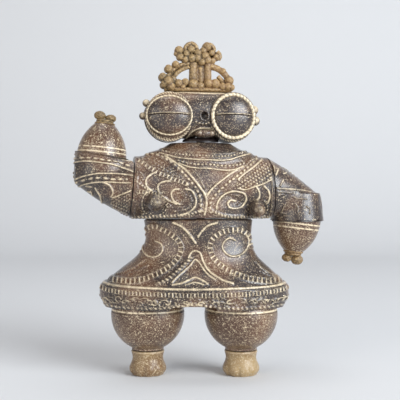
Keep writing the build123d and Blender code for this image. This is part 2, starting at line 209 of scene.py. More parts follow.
def shell(grid, normal, height, wall):
    """A closed half shell. Outside: the grid moved out along its normals by the relief height. Inside: every
    eighth point moved in by the wall. The two are joined along the grid's first and last columns."""
    normal = normal.copy()
    normal[:, [0, -1], 1] = 0
    normal = unit(normal)
    skin = grid + normal * height[..., None]
    lining = grid[::STEP, ::STEP] - wall * normal[::STEP, ::STEP]
    lining[[0, -1]] = lining[[0, -1]].mean(axis=1, keepdims=True)
    lining[:, [0, -1], 1] = grid[::STEP][:, [0, -1], 1]
    rows, cols = grid.shape[:2]
    few = lining.shape[1]
    points = np.concatenate([skin.reshape(-1, 3), lining.reshape(-1, 3)])
    tris = [grid_tris(rows, cols), grid_tris(*lining.shape[:2])[:, ::-1] + rows * cols]
    i = np.arange(rows - 1)
    for column, near in ((0, 0), (cols - 1, few - 1)):
        a, b = i * cols + column, (i + 1) * cols + column
        c, d = ((i + k) // STEP * few + near + rows * cols for k in (1, 0))
        strip = np.concatenate([np.stack([a, b, c], axis=1), np.stack([a, c, d], axis=1)])
        tris.append(strip[:, ::-1] if column == 0 else strip)
    heights = np.concatenate([height.ravel(), np.zeros(lining[..., 0].size)])
    return facing(points, np.concatenate(tris), heights)


def merged(parts):
    """Several parts as one."""
    points, tris, heights = zip(*parts)
    base = np.cumsum([0] + [len(p) for p in points])
    tris = [t + b for t, b in zip(tris, base)]
    return np.concatenate(points), np.concatenate(tris), np.concatenate(heights)


def skin_of(thing):
    """Points, triangles and point normals of an object as its modifiers leave it."""
    seen = thing.evaluated_get(bpy.context.evaluated_depsgraph_get())
    mesh = seen.to_mesh()
    mesh.calc_loop_triangles()
    points, normals = np.empty((2, 3 * len(mesh.vertices)), np.float32)
    tris = np.empty(3 * len(mesh.loop_triangles), np.int32)
    mesh.vertices.foreach_get("co", points)
    mesh.vertex_normals.foreach_get("vector", normals)
    mesh.loop_triangles.foreach_get("vertices", tris)
    seen.to_mesh_clear()
    return points.reshape(-1, 3).astype(float), tris.reshape(-1, 3), normals.reshape(-1, 3)


def crumbled(points):
    """A crumbly unevenness from -1 to 1: products of the sines of three slanting lengths, in two sizes
    that are laid over each other."""
    a, b, c = (points @ np.array(w) for w in ((3.1, 1.3, 0.7), (-0.9, 2.9, 1.5), (1.1, -1.7, 3.3)))
    large = np.sin(a) * np.sin(b) * np.sin(c)
    return 0.6 * large + 0.4 * np.sin(2.3 * a + 1) * np.sin(2.1 * b + 2) * np.sin(2.5 * c)


def melted(parts, cell, gain):
    """Closed parts melted into one crumbly skin: remeshed on a fine lattice and smoothed. A point's height
    says how far it stands above the same skin smoothed much more; the paint turns it into painted shade in
    the hollows and a painted highlight on the tops."""
    points, tris, _ = merged(parts)
    mesh = bpy.data.meshes.new("melt")
    mesh.from_pydata(points.tolist(), [], tris.tolist())
    thing = bpy.data.objects.new("melt", mesh)
    bpy.context.collection.objects.link(thing)
    join = thing.modifiers.new("join", "REMESH")
    join.mode, join.voxel_size = "VOXEL", cell
    soften = thing.modifiers.new("soften", "SMOOTH")
    soften.factor, soften.iterations = 0.5, SOFTEN_ROUNDS
    fine, tris, normals = skin_of(thing)
    soften.iterations += COARSE_ROUNDS
    coarse = skin_of(thing)[0]
    bpy.data.objects.remove(thing)
    bpy.data.meshes.remove(mesh)
    uneven = crumbled(fine)
    stands = ((fine - coarse) * normals).sum(axis=1)
    # painted shade and highlight: darker where a point lies deep, lighter where it stands out, varied at
    # random by the crumbs
    raised = np.clip(MIDDLE_HEIGHT + gain * stands + CRUMB_LIGHT * uneven, 0, 1)
    return fine + CRUMB_DEPTH * normals * np.minimum(uneven, CRUMB_TOP)[:, None], tris, raised


def moved(part, place):
    """A part set out in a local frame."""
    return place.out(part[0]), part[1], part[2]


def put(name, part, body, material, nodes=()):
    """A mesh piece from a part, riding on a body in place of CAD nodes: equal points are welded and empty
    triangles dropped."""
    points, tris, height = part
    _, first, index = np.unique(np.round(points, 4), axis=0, return_index=True, return_inverse=True)
    tris = index.reshape(-1)[tris]
    points, height = points[first], height[first]
    tris = tris[(tris[:, 0] != tris[:, 1]) & (tris[:, 1] != tris[:, 2]) & (tris[:, 0] != tris[:, 2])]
    mesh = bpy.data.meshes.new(name)
    mesh.vertices.add(len(points))
    mesh.vertices.foreach_set("co", (points * MM).astype(np.float32).ravel())
    mesh.loops.add(tris.size)
    mesh.loops.foreach_set("vertex_index", np.ascontiguousarray(tris, dtype=np.int32).ravel())
    mesh.polygons.add(len(tris))
    mesh.polygons.foreach_set("loop_start", np.arange(0, tris.size, 3, dtype=np.int32))
    mesh.update(calc_edges=True)
    if mesh.validate():
        raise RuntimeError(f"{name} has faulty faces")
    raised = mesh.attributes.new("height", "FLOAT", "POINT")
    raised.data.foreach_set("value", height.astype(np.float32))
    mesh.polygons.foreach_set("use_smooth", np.ones(len(mesh.polygons), bool))
    mesh.set_sharp_from_angle(angle=CREASE)
    mesh.materials.append(material)
    piece = bpy.data.objects.new(name, mesh)
    bpy.context.collection.objects.link(piece)
    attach(piece, body)
    if nodes:
        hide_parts(*nodes)


# ---- relief: lines raised on a flat layout ---------------------------------------------------------


def along(points, line):
    """For flat points: their distance to the nearest leg of a line, the length along the line to there,
    and the side of it on which they lie."""
    a, b = line[:-1], line[1:]
    span = b - a
    length = np.linalg.norm(span, axis=1)
    reach = np.full(len(points), np.inf)
    run, side = np.zeros(len(points)), np.zeros(len(points))
    start = np.concatenate([[0], np.cumsum(length)])
    for i in range(len(a)):
        off = points - a[i]
        t = np.clip(off @ span[i] / length[i] ** 2, 0, 1)
        far = np.linalg.norm(off - t[:, None] * span[i], axis=1)
        near = far < reach
        reach = np.where(near, far, reach)
        run = np.where(near, start[i] + t * length[i], run)
        side = np.where(near, np.sign(span[i, 0] * off[:, 1] - span[i, 1] * off[:, 0]), side)
    return reach, run, side


def dome(r):
    """A round-topped height: one at the middle, none from r = 1 on."""
    return np.sqrt(np.clip(1 - r**2, 0, 1))


def cord(points, line, half=0.5, high=1.0):
    """A plain raised cord: a dome across the line."""
    return high * dome(along(points, line)[0] / half)


def rope(points, line, half=0.7, pitch=1.3, high=1.0):
    """A cord twisted: its height swings along slanted strands."""
    reach, run, side = along(points, line)
    strand = 0.72 + 0.28 * np.cos(2 * np.pi * (run + 0.5 * side * reach) / pitch)
    return high * dome(reach / half) * strand


def dots(points, line, radius=0.5, pitch=1.25, high=1.0):
    """A row of beads: a dome round each place that is a whole number of pitches along the line."""
    reach, run, _ = along(points, line)
    step = (np.mod(run, pitch) - pitch / 2) * (2 * radius / pitch) * 1.05
    return high * dome(np.hypot(reach, step) / radius)


def ladder(points, line, half=1.1, edge=0.26, pitch=1.75, high=1.0):
    """Two low cords with rungs between them."""
    reach, run, _ = along(points, line)
    rails = 0.72 * dome((reach - half) / edge)
    rungs = dome((np.mod(run, pitch) - pitch / 2) / (0.27 * pitch))
    rungs = rungs * np.clip((half + 0.1 - reach) / 0.2, 0, 1)
    return high * np.maximum(rails, rungs)


def inside(points, outline):
    """Whether flat points lie inside a closed outline, by counting crossings."""
    x, z = points.T
    ends = np.roll(outline, -1, axis=0)
    hit = np.zeros(len(points), bool)
    for (ax, az), (bx, bz) in zip(outline, ends):
        with np.errstate(divide="ignore", invalid="ignore"):
            cross = (az > z) != (bz > z)
            hit ^= cross & (x < (bx - ax) * (z - az) / (bz - az) + ax)
    return hit


def scales(points, outline, pitch=1.35, turn=40.0, high=0.9):
    """Rows of little domes like fish scales, staggered, inside an outline."""
    c, s = math.cos(math.radians(turn)), math.sin(math.radians(turn))
    u, v = (points[:, 0] * c + points[:, 1] * s) / pitch, (points[:, 1] * c - points[:, 0] * s) / pitch
    row = np.floor(v)
    u = u + 0.5 * np.mod(row, 2)
    d = np.hypot((np.mod(u, 1) - 0.5) / 0.45, (np.mod(v, 1) - 0.5) / 0.42)
    return high * dome(d) * inside(points, np.asarray(outline, float))


DRAW = {"cord": cord, "rope": rope, "dots": dots, "ladder": ladder, "scales": scales}
REACH = 2  # no line is drawn farther from its middle than this


def drawn(points, pattern):
    """Relief height from 0 to 1 at flat points: the highest of all lines of a pattern. A line is its kind,
    its keys and, where it isn't the usual size, its sizes."""
    flat = points.reshape(-1, 2)
    height = np.zeros(len(flat))
    for kind, keys, *sizes in pattern:
        ready = kind == "scales" or isinstance(keys, np.ndarray)
        line = np.asarray(keys, float) if ready else curve(keys)
        near = ((flat > line.min(axis=0) - REACH) & (flat < line.max(axis=0) + REACH)).all(axis=1)
        height[near] = np.maximum(height[near], DRAW[kind](flat[near], line, *sizes))
    return height.reshape(points.shape[:-1])


def scribbles(count, start, end, middle, seed):
    """Short hooked cords laid at random along a band: arcs of small ellipses."""
    chance = np.random.default_rng(seed)
    made = []
    for x in np.linspace(start, end, count):
        turn = chance.uniform(0, 6.3) + np.linspace(0, chance.uniform(2.2, 4.4), 5)
        centre = (x + chance.uniform(-0.6, 0.6), middle + chance.uniform(-0.8, 0.8))
        wide, tall = chance.uniform(0.8, 1.7), chance.uniform(0.5, 1.0)
        points = [(centre[0] + wide * math.cos(k), centre[1] + tall * math.sin(k)) for k in turn]
        made.append(("cord", points, chance.uniform(0.22, 0.42), chance.uniform(0.7, 1.0)))
    return made


# ---- patterns: where the raised lines run, across and up, seen from in front ------------------------------

SKIRT_FRONT = [
    ("ladder", [(-23.6, 49), (-22.9, 53.5), (-20.6, 57), (-17.6, 57.9), (-14.2, 56.6), (-11, 54.8),
        (-8.4, 52.4), (-7.3, 50), (-8.1, 47), (-10.5, 44), (-13.8, 41.6), (-17, 40), (-21, 38.4),
        (-25.6, 37.6), (-30, 37.4), (-34.6, 37.5)], 0.95),
    ("cord", [(-17.2, 52.3), (-14.9, 51.2), (-14.3, 49), (-15.6, 47), (-18.2, 46.2), (-20.8, 46.9),
        (-22.2, 48.5), (-22.6, 50.6)], 0.42),
    ("dots", [(-21.6, 44.9), (-24.8, 42.6), (-28.6, 40.6), (-32.6, 39.4)], 0.4, 1.0, 0.8),
    ("dots", [(-19.6, 43.4), (-23.6, 41.4), (-27.6, 39.6)], 0.36, 1.0, 0.7),
    ("cord", [(-10.3, 59.4), (-7, 57.9), (-4.5, 55.4), (-1.9, 51.8)], 0.6),
    ("cord", [(6.2, 59.4), (2.9, 58.4), (0.7, 56.4), (-0.9, 54.2)], 0.6),
    ("cord", [(13.1, 52.7), (11.1, 53.6), (8.8, 52.1), (8.2, 50.1), (9.5, 47.9), (12, 46.6), (14.3, 46.8),
        (16.7, 48.1), (18.1, 50.3), (18.4, 52.8), (17.2, 55)], 0.42),
    ("ladder", [(19.6, 50), (18.6, 54), (15.8, 56.2), (12.1, 56.6), (8.8, 56.1), (6, 54.6), (4.2, 52.8),
        (3.6, 50.4), (4.2, 47.4), (6.3, 44.5), (9, 42.3), (12.1, 40.7), (15.9, 39.2), (20.4, 38.1),
        (25.1, 37.4), (30.4, 37.2)], 0.95),
    ("cord", [(20.8, 44.6), (23.4, 42), (27, 39.6), (30, 38.6)], 0.35, 0.7),
    ("dots", [(22.4, 41.2), (25.6, 39.6), (28.6, 38.6)], 0.36, 1.0, 0.7),
    ("cord", [(-4.4, 46.4), (-3.6, 48), (-1.9, 48.9), (-0.3, 48.2), (0.5, 46.2), (1.6, 43.6), (3.4, 41.2),
        (6, 39.4), (8.6, 38), (12, 37)], 0.5),
    ("rope", [(-3.4, 46.2), (-5.4, 44.3), (-7.6, 42.2), (-10.1, 40.2), (-12.8, 38.2), (-16, 36.9)], 0.8,
        1.5),
    ("cord", [(-10.5, 37.4), (-8.6, 39.3), (-6.2, 41.4), (-3.7, 43.6), (-1.9, 45.6), (-0.6, 44.5),
        (0.7, 42.6), (2.6, 40.3), (5.4, 38.4)], 0.42),
    ("cord", [(-10.4, 36.6), (-6.8, 37.2), (-4.4, 38.3), (-1.9, 39.1), (0.6, 38.2), (2.6, 37)], 0.5),
    ("cord", [(-5.6, 36.6), (-1.9, 37.4), (1.2, 36.7)], 0.4),
    ("cord", [(-39, 36.2), (-34, 35.7), (-28, 35.5), (-18, 35.3), (-8, 35.1), (2, 35.1), (12, 35.2),
        (22, 35.3), (30, 35.6), (34.4, 36.1)], 0.55),
    ("ladder", [(-39.2, 34.6), (-34, 33.8), (-28, 33.4), (-18, 33.2), (-8, 33), (2, 32.9), (12, 33),
        (22, 33.3), (30, 33.8), (34.4, 34.4)], 0.8, 0.26, 1.35),
    *scribbles(60, -37.5, 34, 30.3, 5),
    ("rope", [(-37, 28.1), (-30, 27.8), (-20, 27.8), (-10, 28.6), (-2.4, 29.6), (5, 28.6), (14, 27.8),
        (24, 27.8), (32, 28.1)], 0.65, 1.7),
]

SKIRT_BACK = [
    ("ladder", spiral((-13, 49), 3.4, 7.6, 1.35, 60), 0.9),
    ("ladder", spiral((11, 49), 3.4, 7.6, -1.35, 120), 0.9),
    ("cord", [(-10, 59), (-5, 55.5), (-1, 50), (3, 55.5), (8, 59)], 0.55),
    ("cord", [(-14, 38), (-7, 41.5), (-1, 46), (5, 41.5), (12, 38)], 0.55),
    ("rope", [(-11, 37), (-6, 39.4), (-1, 42), (4, 39.4), (9, 37)], 0.7, 1.5),
    ("dots", [(-30, 38.6), (-22, 40.6), (-16, 40.2)], 0.4, 1.1),
    ("dots", [(28, 38.6), (20, 40.6), (14, 40.2)], 0.4, 1.1),
    ("cord", [(-39, 36.2), (-28, 35.5), (-8, 35.1), (12, 35.2), (30, 35.6), (34.4, 36.1)], 0.55),
    ("ladder", [(-39.2, 34.6), (-28, 33.4), (-8, 33), (12, 33), (30, 33.8), (34.4, 34.4)], 0.8, 0.26, 1.35),
    *scribbles(44, -37.5, 34, 30.4, 8),
    ("rope", [(-37, 28.1), (-30, 27.8), (-20, 27.8), (-10, 28.6), (-2.4, 29.6), (5, 28.6), (14, 27.8),
        (24, 27.8), (32, 28.1)], 0.65, 1.7),
]

CHEST_FRONT = [
    ("ladder", [(-26.6, 83.6), (-24.6, 82.7), (-22.2, 81.1), (-20, 79.4), (-17.6, 77.9), (-15, 77),
        (-12, 75.6), (-9.5, 74.9), (-7.2, 74)], 0.72, 0.3, 1.5),
    ("cord", [(-18.6, 78.3), (-20.8, 77.2), (-22.2, 75.8), (-22.5, 74.2), (-21.7, 72.5), (-20.3, 71.6)],
        0.5),
    ("cord", [(-13.6, 75), (-16.2, 74.7), (-17.8, 73.6), (-17.9, 71.9), (-17, 70.2), (-14.8, 68.5),
        (-13, 67.4), (-11, 66.5)], 0.5),
    ("cord", [(-10.1, 72.1), (-11.9, 71.9), (-12.9, 70.8), (-12.7, 69.1), (-11.8, 67.6), (-9.8, 66.4)], 0.5),
    ("dots", spiral((-9.6, 69.1), 1.2, 2.4, 1.3, 0), 0.34, 0.9, 0.8),
    ("cord", [(-7.6, 72.2), (-5.4, 71.6), (-4, 69.4), (-3.6, 66.9), (-4.6, 64.8), (-6.6, 63.3),
        (-9.4, 62.4)], 0.5),
    ("dots", [(-6.1, 69.9), (-5.3, 67.3), (-6.5, 65.2), (-9.2, 64), (-12.4, 63.8)], 0.34, 1.0, 0.8),
    ("dots", [(-8, 65.4), (-10.6, 64.9), (-13, 65.2)], 0.34, 1.0, 0.7),
    ("rope", [(-26.8, 75.4), (-24.7, 74), (-22.6, 72.5), (-20.2, 71.3)], 0.55, 1.2),
    ("ladder", [(-25.4, 71), (-21.7, 70.9), (-19.2, 70.4), (-17, 69.2), (-15.4, 67.4), (-13.8, 65.8)], 0.6,
        0.3, 1.2),
    ("dots", spiral((-18.9, 67), 4.9, 4.9, 0.62, 120), 0.42, 1.3),
    ("dots", [(-24.8, 78.6), (-23.2, 76.6), (-24.4, 74.8)], 0.4, 1.1, 0.7),
    ("scales", [(-24.6, 84), (-19.8, 84.6), (-11.5, 78.6), (-8.2, 76), (-13.4, 77.2), (-18.6, 80),
        (-22, 82.8)], 1.3, -35, 0.7),
    ("dots", [(-22, 85.4), (-19.6, 85.6), (-17.5, 85.2), (-15.6, 84.4), (-13.7, 83.1), (-11.7, 81.7),
        (-9.9, 79.8), (-8.1, 77.8), (-6.2, 75.6), (-4.5, 73.6), (-3, 71.2), (-2, 68.5), (-1.8, 65.8),
        (-2, 63.6)], 0.62, 1.85),
    ("cord", [(-14.6, 84.6), (-12, 82.8), (-9.8, 81.2), (-7.7, 79.6), (-5.2, 76.8), (-3.8, 75), (-2, 72.6),
        (-0.6, 70.6), (0.2, 68.8), (0.3, 66), (-0.4, 62.6)], 0.6),
    ("cord", [(-5, 79.4), (-3.4, 77.9), (-1.5, 74.6), (0, 71.3), (0.6, 69.6)], 0.34, 0.8),
    ("cord", [(12.2, 79.2), (9.4, 77.6), (7.2, 76), (3.6, 73.3), (1.6, 71.2), (0.4, 69.3)], 0.5),
    ("dots", [(21.8, 84.4), (19.2, 82.2), (17, 80.6), (15, 79), (13, 77.6), (11.2, 76.2), (9.2, 74.9),
        (7.2, 73.2), (5.4, 71.6), (3.7, 69.8), (2.2, 67.8), (1.6, 65.4), (2, 63.4)], 0.62, 1.85),
    ("cord", [(23.4, 83.6), (20.4, 81.4), (18, 79.8), (14.6, 77.5), (12.6, 75.8)], 0.5),
    ("rope", [(21.8, 85), (18.6, 83.2), (15.4, 80.6), (12.4, 79)], 0.45, 1.0),
    ("scales", [(23.2, 82.6), (27.4, 80.8), (26.6, 76.4), (22, 74.4), (18.7, 73.4), (13.8, 72), (11.2, 73.6),
        (12.4, 75.2), (17, 78.2)], 1.25, 35, 1.0),
    ("cord", [(26.4, 76.2), (22, 74), (18.7, 73), (14.6, 71.9), (12.4, 72.4)], 0.4),
    ("cord", [(11.6, 67.6), (9.7, 67.9), (8.5, 66.7), (9.2, 65.3), (11.3, 64.8), (13.9, 65.4), (15.5, 67.2),
        (15.8, 68.9), (14.9, 70.4), (12.9, 71.1), (10.3, 71.3), (7.4, 70.2), (5.2, 68.2), (4.4, 66.5),
        (4.2, 64.6)], 0.5),
    ("dots", [(6.2, 68.1), (8.2, 69.6), (10.8, 69.9), (13, 69.2), (13.8, 67.6), (12.6, 66.4)], 0.34, 0.95,
        0.8),
    ("cord", [(19.6, 72.9), (20.8, 70.8), (20.6, 68.6), (19.4, 67.6)], 0.5),
    ("cord", [(22.5, 73.3), (24.3, 71.5), (24.9, 69.3), (24.4, 67)], 0.5),
    ("dots", spiral((20.3, 64.2), 4.4, 4.4, -0.55, 60), 0.42, 1.25),
    # Low wide domes on the two breasts: their tops painted lighter, partly rubbed paint and partly a painted
    # highlight.
    ("cord", [(-19.2, 67.1), (-18.6, 67.1)], 2.6, 0.72),
    ("cord", [(20.0, 64.3), (20.6, 64.3)], 2.2, 0.72),
    ("cord", [(-24, 88.6), (-15, 87.7), (-10.7, 86.9), (-7.3, 86.4), (-2.5, 86.1), (2.3, 85.8), (6.6, 85.7),
        (10.7, 86), (14.4, 87)], 0.32, 0.7),
    ("dots", [(-16, 86.9), (-13, 86.1), (-10, 85.5), (-7.3, 85.1), (-2.5, 84.9), (2.3, 84.7), (6.6, 84.6),
        (10.7, 85), (14.6, 86.1), (17.6, 87)], 0.42, 1.25),
    ("cord", [(-16.6, 85.9), (-13.3, 84.9), (-8.6, 83.8), (-4.3, 83.4), (2.3, 83.2), (6.6, 83.1),
        (10.2, 83.5), (14, 84.7), (19, 86)], 0.4),
    ("dots", [(-10.4, 83.2), (-7.9, 82.3), (-5.4, 81.8), (-2.1, 81.4), (1.6, 81.5), (5.2, 81.1), (7.5, 80.9),
        (10.2, 81), (13.3, 81.4), (16, 82.2)], 0.5, 1.5),
    ("cord", [(-9.9, 81.9), (-6.9, 80.7), (-3, 80), (1.6, 79.9), (4.8, 79.5), (8.4, 79.2), (12, 79.6),
        (15, 80.8)], 0.4),
    ("rope", [(-27, 61.6), (-23.5, 61.6), (-19.3, 61.7), (-15.1, 61.9), (-10.9, 62.2), (-7.1, 62.6),
        (-3, 63.6), (0.4, 64.2), (3.6, 63.4), (6.4, 62.3), (9.4, 61.7), (14, 61.6), (20, 61.6), (27, 61.6)],
        0.75, 1.3),
    ("cord", [(-26.3, 61), (-25.9, 66), (-25.6, 72.9), (-25.7, 80), (-26, 86)], 0.3, 0.6),
    ("cord", [(26.3, 61), (25.9, 66), (25.8, 72.9), (25.7, 80), (26, 86)], 0.3, 0.8),
]

CHEST_BACK = [
    ("ladder", spiral((-13, 72), 2.6, 6.4, 1.4, 90), 0.8),
    ("ladder", spiral((13, 72), 2.6, 6.4, -1.4, 90), 0.8),
    ("rope", [(-26, 80), (-18, 80.6), (-9, 78.6), (0, 74), (9, 78.6), (18, 80.6), (26, 80)], 0.7, 1.4),
    ("dots", [(-20, 84), (-9, 82), (0, 78), (9, 82), (20, 84)], 0.5, 1.5),
    ("cord", [(0, 74), (0, 62)], 0.5),
    ("dots", [(-16, 86.2), (-7, 85), (0, 84.7), (7, 85), (16, 86.2)], 0.42, 1.25),
    ("cord", [(-17, 85), (-8, 83.6), (0, 83.3), (8, 83.6), (17, 85)], 0.4),
    ("rope", [(-27, 61.6), (-10, 61.6), (10, 61.6), (27, 61.6)], 0.75, 1.3),
    ("cord", [(-26.3, 61), (-25.6, 72.9), (-26, 86)], 0.3, 0.7),
    ("cord", [(26.3, 61), (25.8, 72.9), (26, 86)], 0.3, 0.7),
]


# ---- base shapes ----------------------------------------------------------------------------------

CHEST_FLOOR = box("chest_front")[0][2]
COLLAR_TOP = box("chest_front")[1][2]
AXIS_Z = joint_place("shoulder_swing_left")[2]
SEAM_X = np.hypot(*joint_place("shoulder_swing_left")[:2])
TILT = math.asin(SHOULDER["left"][2])
RAY = 34.0  # longer than any way from the middle of a chest or sleeve to its skin
HIP = {side: joint_place(f"hip_swing_{side}") for side in SIDES}
LEG_R = (box("leg_left")[1] - box("leg_left")[0])[0] / 2
HIP_POCKET = LEG_R + 0.35
CAP_SHARES = np.array([0.985, 0.95, 0.85, 0.7, 0.5, 0.3, 0.12, 0.0])

# The skirt: at each height, how much narrower and shallower than the hem it is.
SKIRT_IN_X = [(26, 3.4), (27.4, 1.9), (29.35, 0.6), (33.2, 0), (35.2, 0.6), (36.8, 2.4),
              (41.5, 7.8), (46.5, 13.4), (52, 16), (57, 16), (61, 15.5)]
SKIRT_IN_Y = [(26, 1.8), (27.4, 1), (29.35, 0.35), (33.2, 0), (35.2, 0.3), (36.8, 1.3),
              (41.5, 5.2), (46.5, 7.5), (52, 8.2), (57, 8), (61, 7.8)]
WAIST_SHIFT = -0.9  # the waist's middle, sideways
# At each height, the shares of the hem's middle and of the waist's in the skirt's own.
SKIRT_MIDDLE = [(26, 1, 0), (36.8, 1, 0), (41.5, 0.8, 0), (52, 0, 1), (61, 0, 1)]
SKIRT_SLACK = 0.04  # kept free in front and behind, inside the CAD box
ARCH_RISE, ARCH_HALF_X, ARCH_ROWS = 3.0, 9.0, 6
HEM_TOP, HEM_GAP = 37, 0.25  # below this height the rows lie closer together
RIM_X, RIM_Y = 0.975, 0.96  # the lid's rounded rim as shares of the topmost ellipse
UNDER_CROWD = 1.3  # underneath, rows crowd towards the edge by this power

# Points of each half's grid, along it and round it. With the rows that close its ends, each is one more than
# a multiple of STEP.
SIDE_ROWS, HEM_ROWS, UNDER_ROWS, SKIRT_ROUND = 92, 44, 49, 385
CHEST_ROWS, CHEST_ROUND = 217, 193
SLEEVE_ROWS, SLEEVE_ROUND = 153, 161

# The chest: its belly's half sizes, its collar's half sizes at each height, and its breasts: across,
# height, radius.
BARREL_R = 12.35
BELLY_X, BELLY_Y, BELLY_FLOOR_Y, BELLY_RISE = 28.6, 12.6, 11.6, 4
COLLAR_Z = [76, 83.4, 86.4, 87.8, 89.2, COLLAR_TOP, COLLAR_TOP + 0.25, COLLAR_TOP + 0.55]
COLLAR_X = [25.3, 24.8, 21.4, 16.6, 14.2, 12.9, 10.6, 6]
COLLAR_Y = [10.9, 9.9, 9.0, 8.1, 6.9, 6.1, 5.2, 3]
BREASTS = ((-18.9, 67, 3.7), (20.3, 64.2, 3.2))
BELLY_SCALE = 12  # millimetres for one share of the belly's half sizes
COLLAR_BLEND = 1.6
BREAST_Y, BREAST_DEPTH, BREAST_BLEND = -12.1, 3.9, 0.6
TIP_Y, TIP_RADII, TIP_BLEND = -15.7, (1.1, 0.9, 1.1), 0.9

# The sleeves and cuffs.
ELBOW_LOCAL = {s: ARM[s].inner(CUFF[s].origin) for s in SIDES}
CUFF_R, CUFF_TOP_R, CUFF_LIP, CUFF_LEN = 11.1, 9.6, 0.9, 10.8
SLEEVE_SEAM, SLEEVE_END_R = 0.35, 4.5
SLEEVE_REACH = {"right": 21.8, "left": 20.8}
SLEEVE_DROP = {"right": 3.4, "left": 8.8}  # where the narrow end lies across the shoulder axis
SLEEVE_BULGE = 0.9
SLEEVE_TRIM = {"right": 0.45, "left": 0.0}  # what the soft elbow bend would add, taken off again
CUFF_BLEND = {"right": 3.2, "left": 0.8}  # the left cuff keeps its upper edge
# The cuff's mouth and the forearm's pocket in it: radius and height above the elbow, after the lip.
POCKET = [(9.95, -0.9), (9.85, -0.5), (9.85, 0), (9.7, 1.7), (9.3, 3.25), (8.7, 4.6), (8.56, 4.87),
          (6.0, 4.87), (3.0, 4.87), (0, 4.87)]


def smooth_cap(rows, centre, count=8):
    """Rows that close a ring towards its centre, dense near the ring so that its edge stays crisp."""
    return centre + (rows - centre) * CAP_SHARES[-count:, None, None]


def arch_height(x):
    """How far the hem's lower edge rises between the legs: half an ellipse."""
    return ARCH_RISE * np.sqrt(np.clip(1 - (x / ARCH_HALF_X) ** 2, 0, 1))


def skirt_grid(front, inset):
    """The skirt's half: ellipses from the middle of its top plate, down its flared side, round the hem and
    over its hollowed underside back to the middle. Each ellipse's half sizes follow smooth curves of the
    height."""
    low, high = box("skirt_front")
    hem_x, hem_y = (high[0] - low[0]) / 2, -low[1]
    shift = (high[0] + low[0]) / 2
    top, bottom = CHEST_FLOOR - 0.1, low[2]
    upper = np.linspace(top - 0.5, HEM_TOP, SIDE_ROWS)
    z = np.concatenate([upper, np.linspace(HEM_TOP - HEM_GAP, bottom + 0.6, HEM_ROWS)])
    half_x = ramp(z, [(at, hem_x - less) for at, less in SKIRT_IN_X])
    half_y = ramp(z, [(at, hem_y - less) for at, less in SKIRT_IN_Y])
    mid = ramp(z, [(at, shift * hem + WAIST_SHIFT * waist) for at, hem, waist in SKIRT_MIDDLE])
    angle = np.linspace(math.pi, 2 * math.pi if front else 0, SKIRT_ROUND)
    across = mid[:, None] + (half_x - inset)[:, None] * np.cos(angle)
    deep = (half_y - inset - SKIRT_SLACK)[:, None] * np.sin(angle)
    side = np.stack([across, deep, np.repeat(z[:, None], len(angle), axis=1)], axis=-1)
    rim = side[0] * [1, 1, 0] + [0, 0, top]
    rim[:, 0] = mid[0] + (rim[:, 0] - mid[0]) * RIM_X
    rim[:, 1] *= RIM_Y
    lid = smooth_cap(rim[None], np.array([mid[0], 0, top]), 7)[::-1]
    edge = side[-1] * [1, 1, 0]
    share = np.linspace(0, 1, UNDER_ROWS)[:, None, None] ** UNDER_CROWD
    under = edge * (1 - share) + np.array([shift, 0, 0]) * share
    under[..., 2] = bottom + arch_height(under[..., 0] - shift)
    for place in HIP.values():
        off = np.hypot(under[..., 0] - place[0], under[..., 1] - place[1])
        hollow = np.sqrt(np.clip(HIP_POCKET**2 - off**2, 0, None)) * (off < HIP_POCKET)
        under[..., 2] = np.maximum(under[..., 2], place[2] + hollow)
    under[-1] = under[-1].mean(axis=0)
    last = side[-ARCH_ROWS:]
    last[..., 2] += arch_height(last[..., 0] - shift) * np.linspace(0.2, 1, ARCH_ROWS)[:, None]
    return np.concatenate([lid, rim[None], side, under])


def chest_field(p):
    """The chest's solid in its own frame: a lying barrel, a belly, a collar that narrows upwards and two
    breasts with their tips, run smoothly into one another."""
    x, y, z = np.moveaxis(p, -1, 0)
    barrel = np.hypot(y, z - AXIS_Z) - BARREL_R
    levels = [CHEST_FLOOR, CHEST_FLOOR + BELLY_RISE, AXIS_Z]
    belly_y = np.interp(z, levels, [BELLY_FLOOR_Y, BELLY_Y, BELLY_Y])
    belly = np.maximum((np.hypot(x / BELLY_X, y / belly_y) - 1) * BELLY_SCALE, z - AXIS_Z)
    neck_x, neck_y = np.interp(z, COLLAR_Z, COLLAR_X), np.interp(z, COLLAR_Z, COLLAR_Y)
    collar = np.maximum((np.hypot(x / neck_x, y / neck_y) - 1) * neck_y, z - COLLAR_Z[-1])
    body = smooth_min(np.minimum(barrel, belly), collar, COLLAR_BLEND)
    for bx, bz, wide in BREASTS:
        breast = ball(p, np.array([bx, BREAST_Y, bz]), (wide, BREAST_DEPTH, wide))
        body = smooth_min(body, breast, BREAST_BLEND)
        body = smooth_min(body, ball(p, np.array([bx, TIP_Y, bz]), TIP_RADII), TIP_BLEND)
    return np.maximum(body, CHEST_FLOOR - z)


def chest_grid(front, inset):
    """The chest's half: sections across it from seam to seam, tilting with the seams, each point the last
    place where a ray from the shoulder axis leaves the solid."""
    sign = -1 if front else 1
    u = np.linspace(-1, 1, CHEST_ROWS)[:, None]
    angle = np.linspace(0, math.pi, CHEST_ROUND)[None, :]
    start = np.stack([u * (SEAM_X - 0.02), 0 * u, 0 * u + AXIS_Z], axis=-1)
    up = -np.cos(angle)
    way = np.stack([-u * math.tan(TILT) * up, sign * np.sin(angle) + 0 * u, up + 0 * u], axis=-1)
    skin = cast(lambda p: chest_field(p) + inset, start, way, RAY)
    left, right = smooth_cap(skin[:1], start[0]), smooth_cap(skin[-1:], start[-1])
    return np.concatenate([left[::-1], skin, right])


def cuff_local(side):
    """The cuff's frame inside the arm's own."""
    arm, cuff = ARM[side].axes, CUFF[side].axes
    return Place(ELBOW_LOCAL[side], arm.T @ cuff[:, 0], arm.T @ cuff[:, 1])


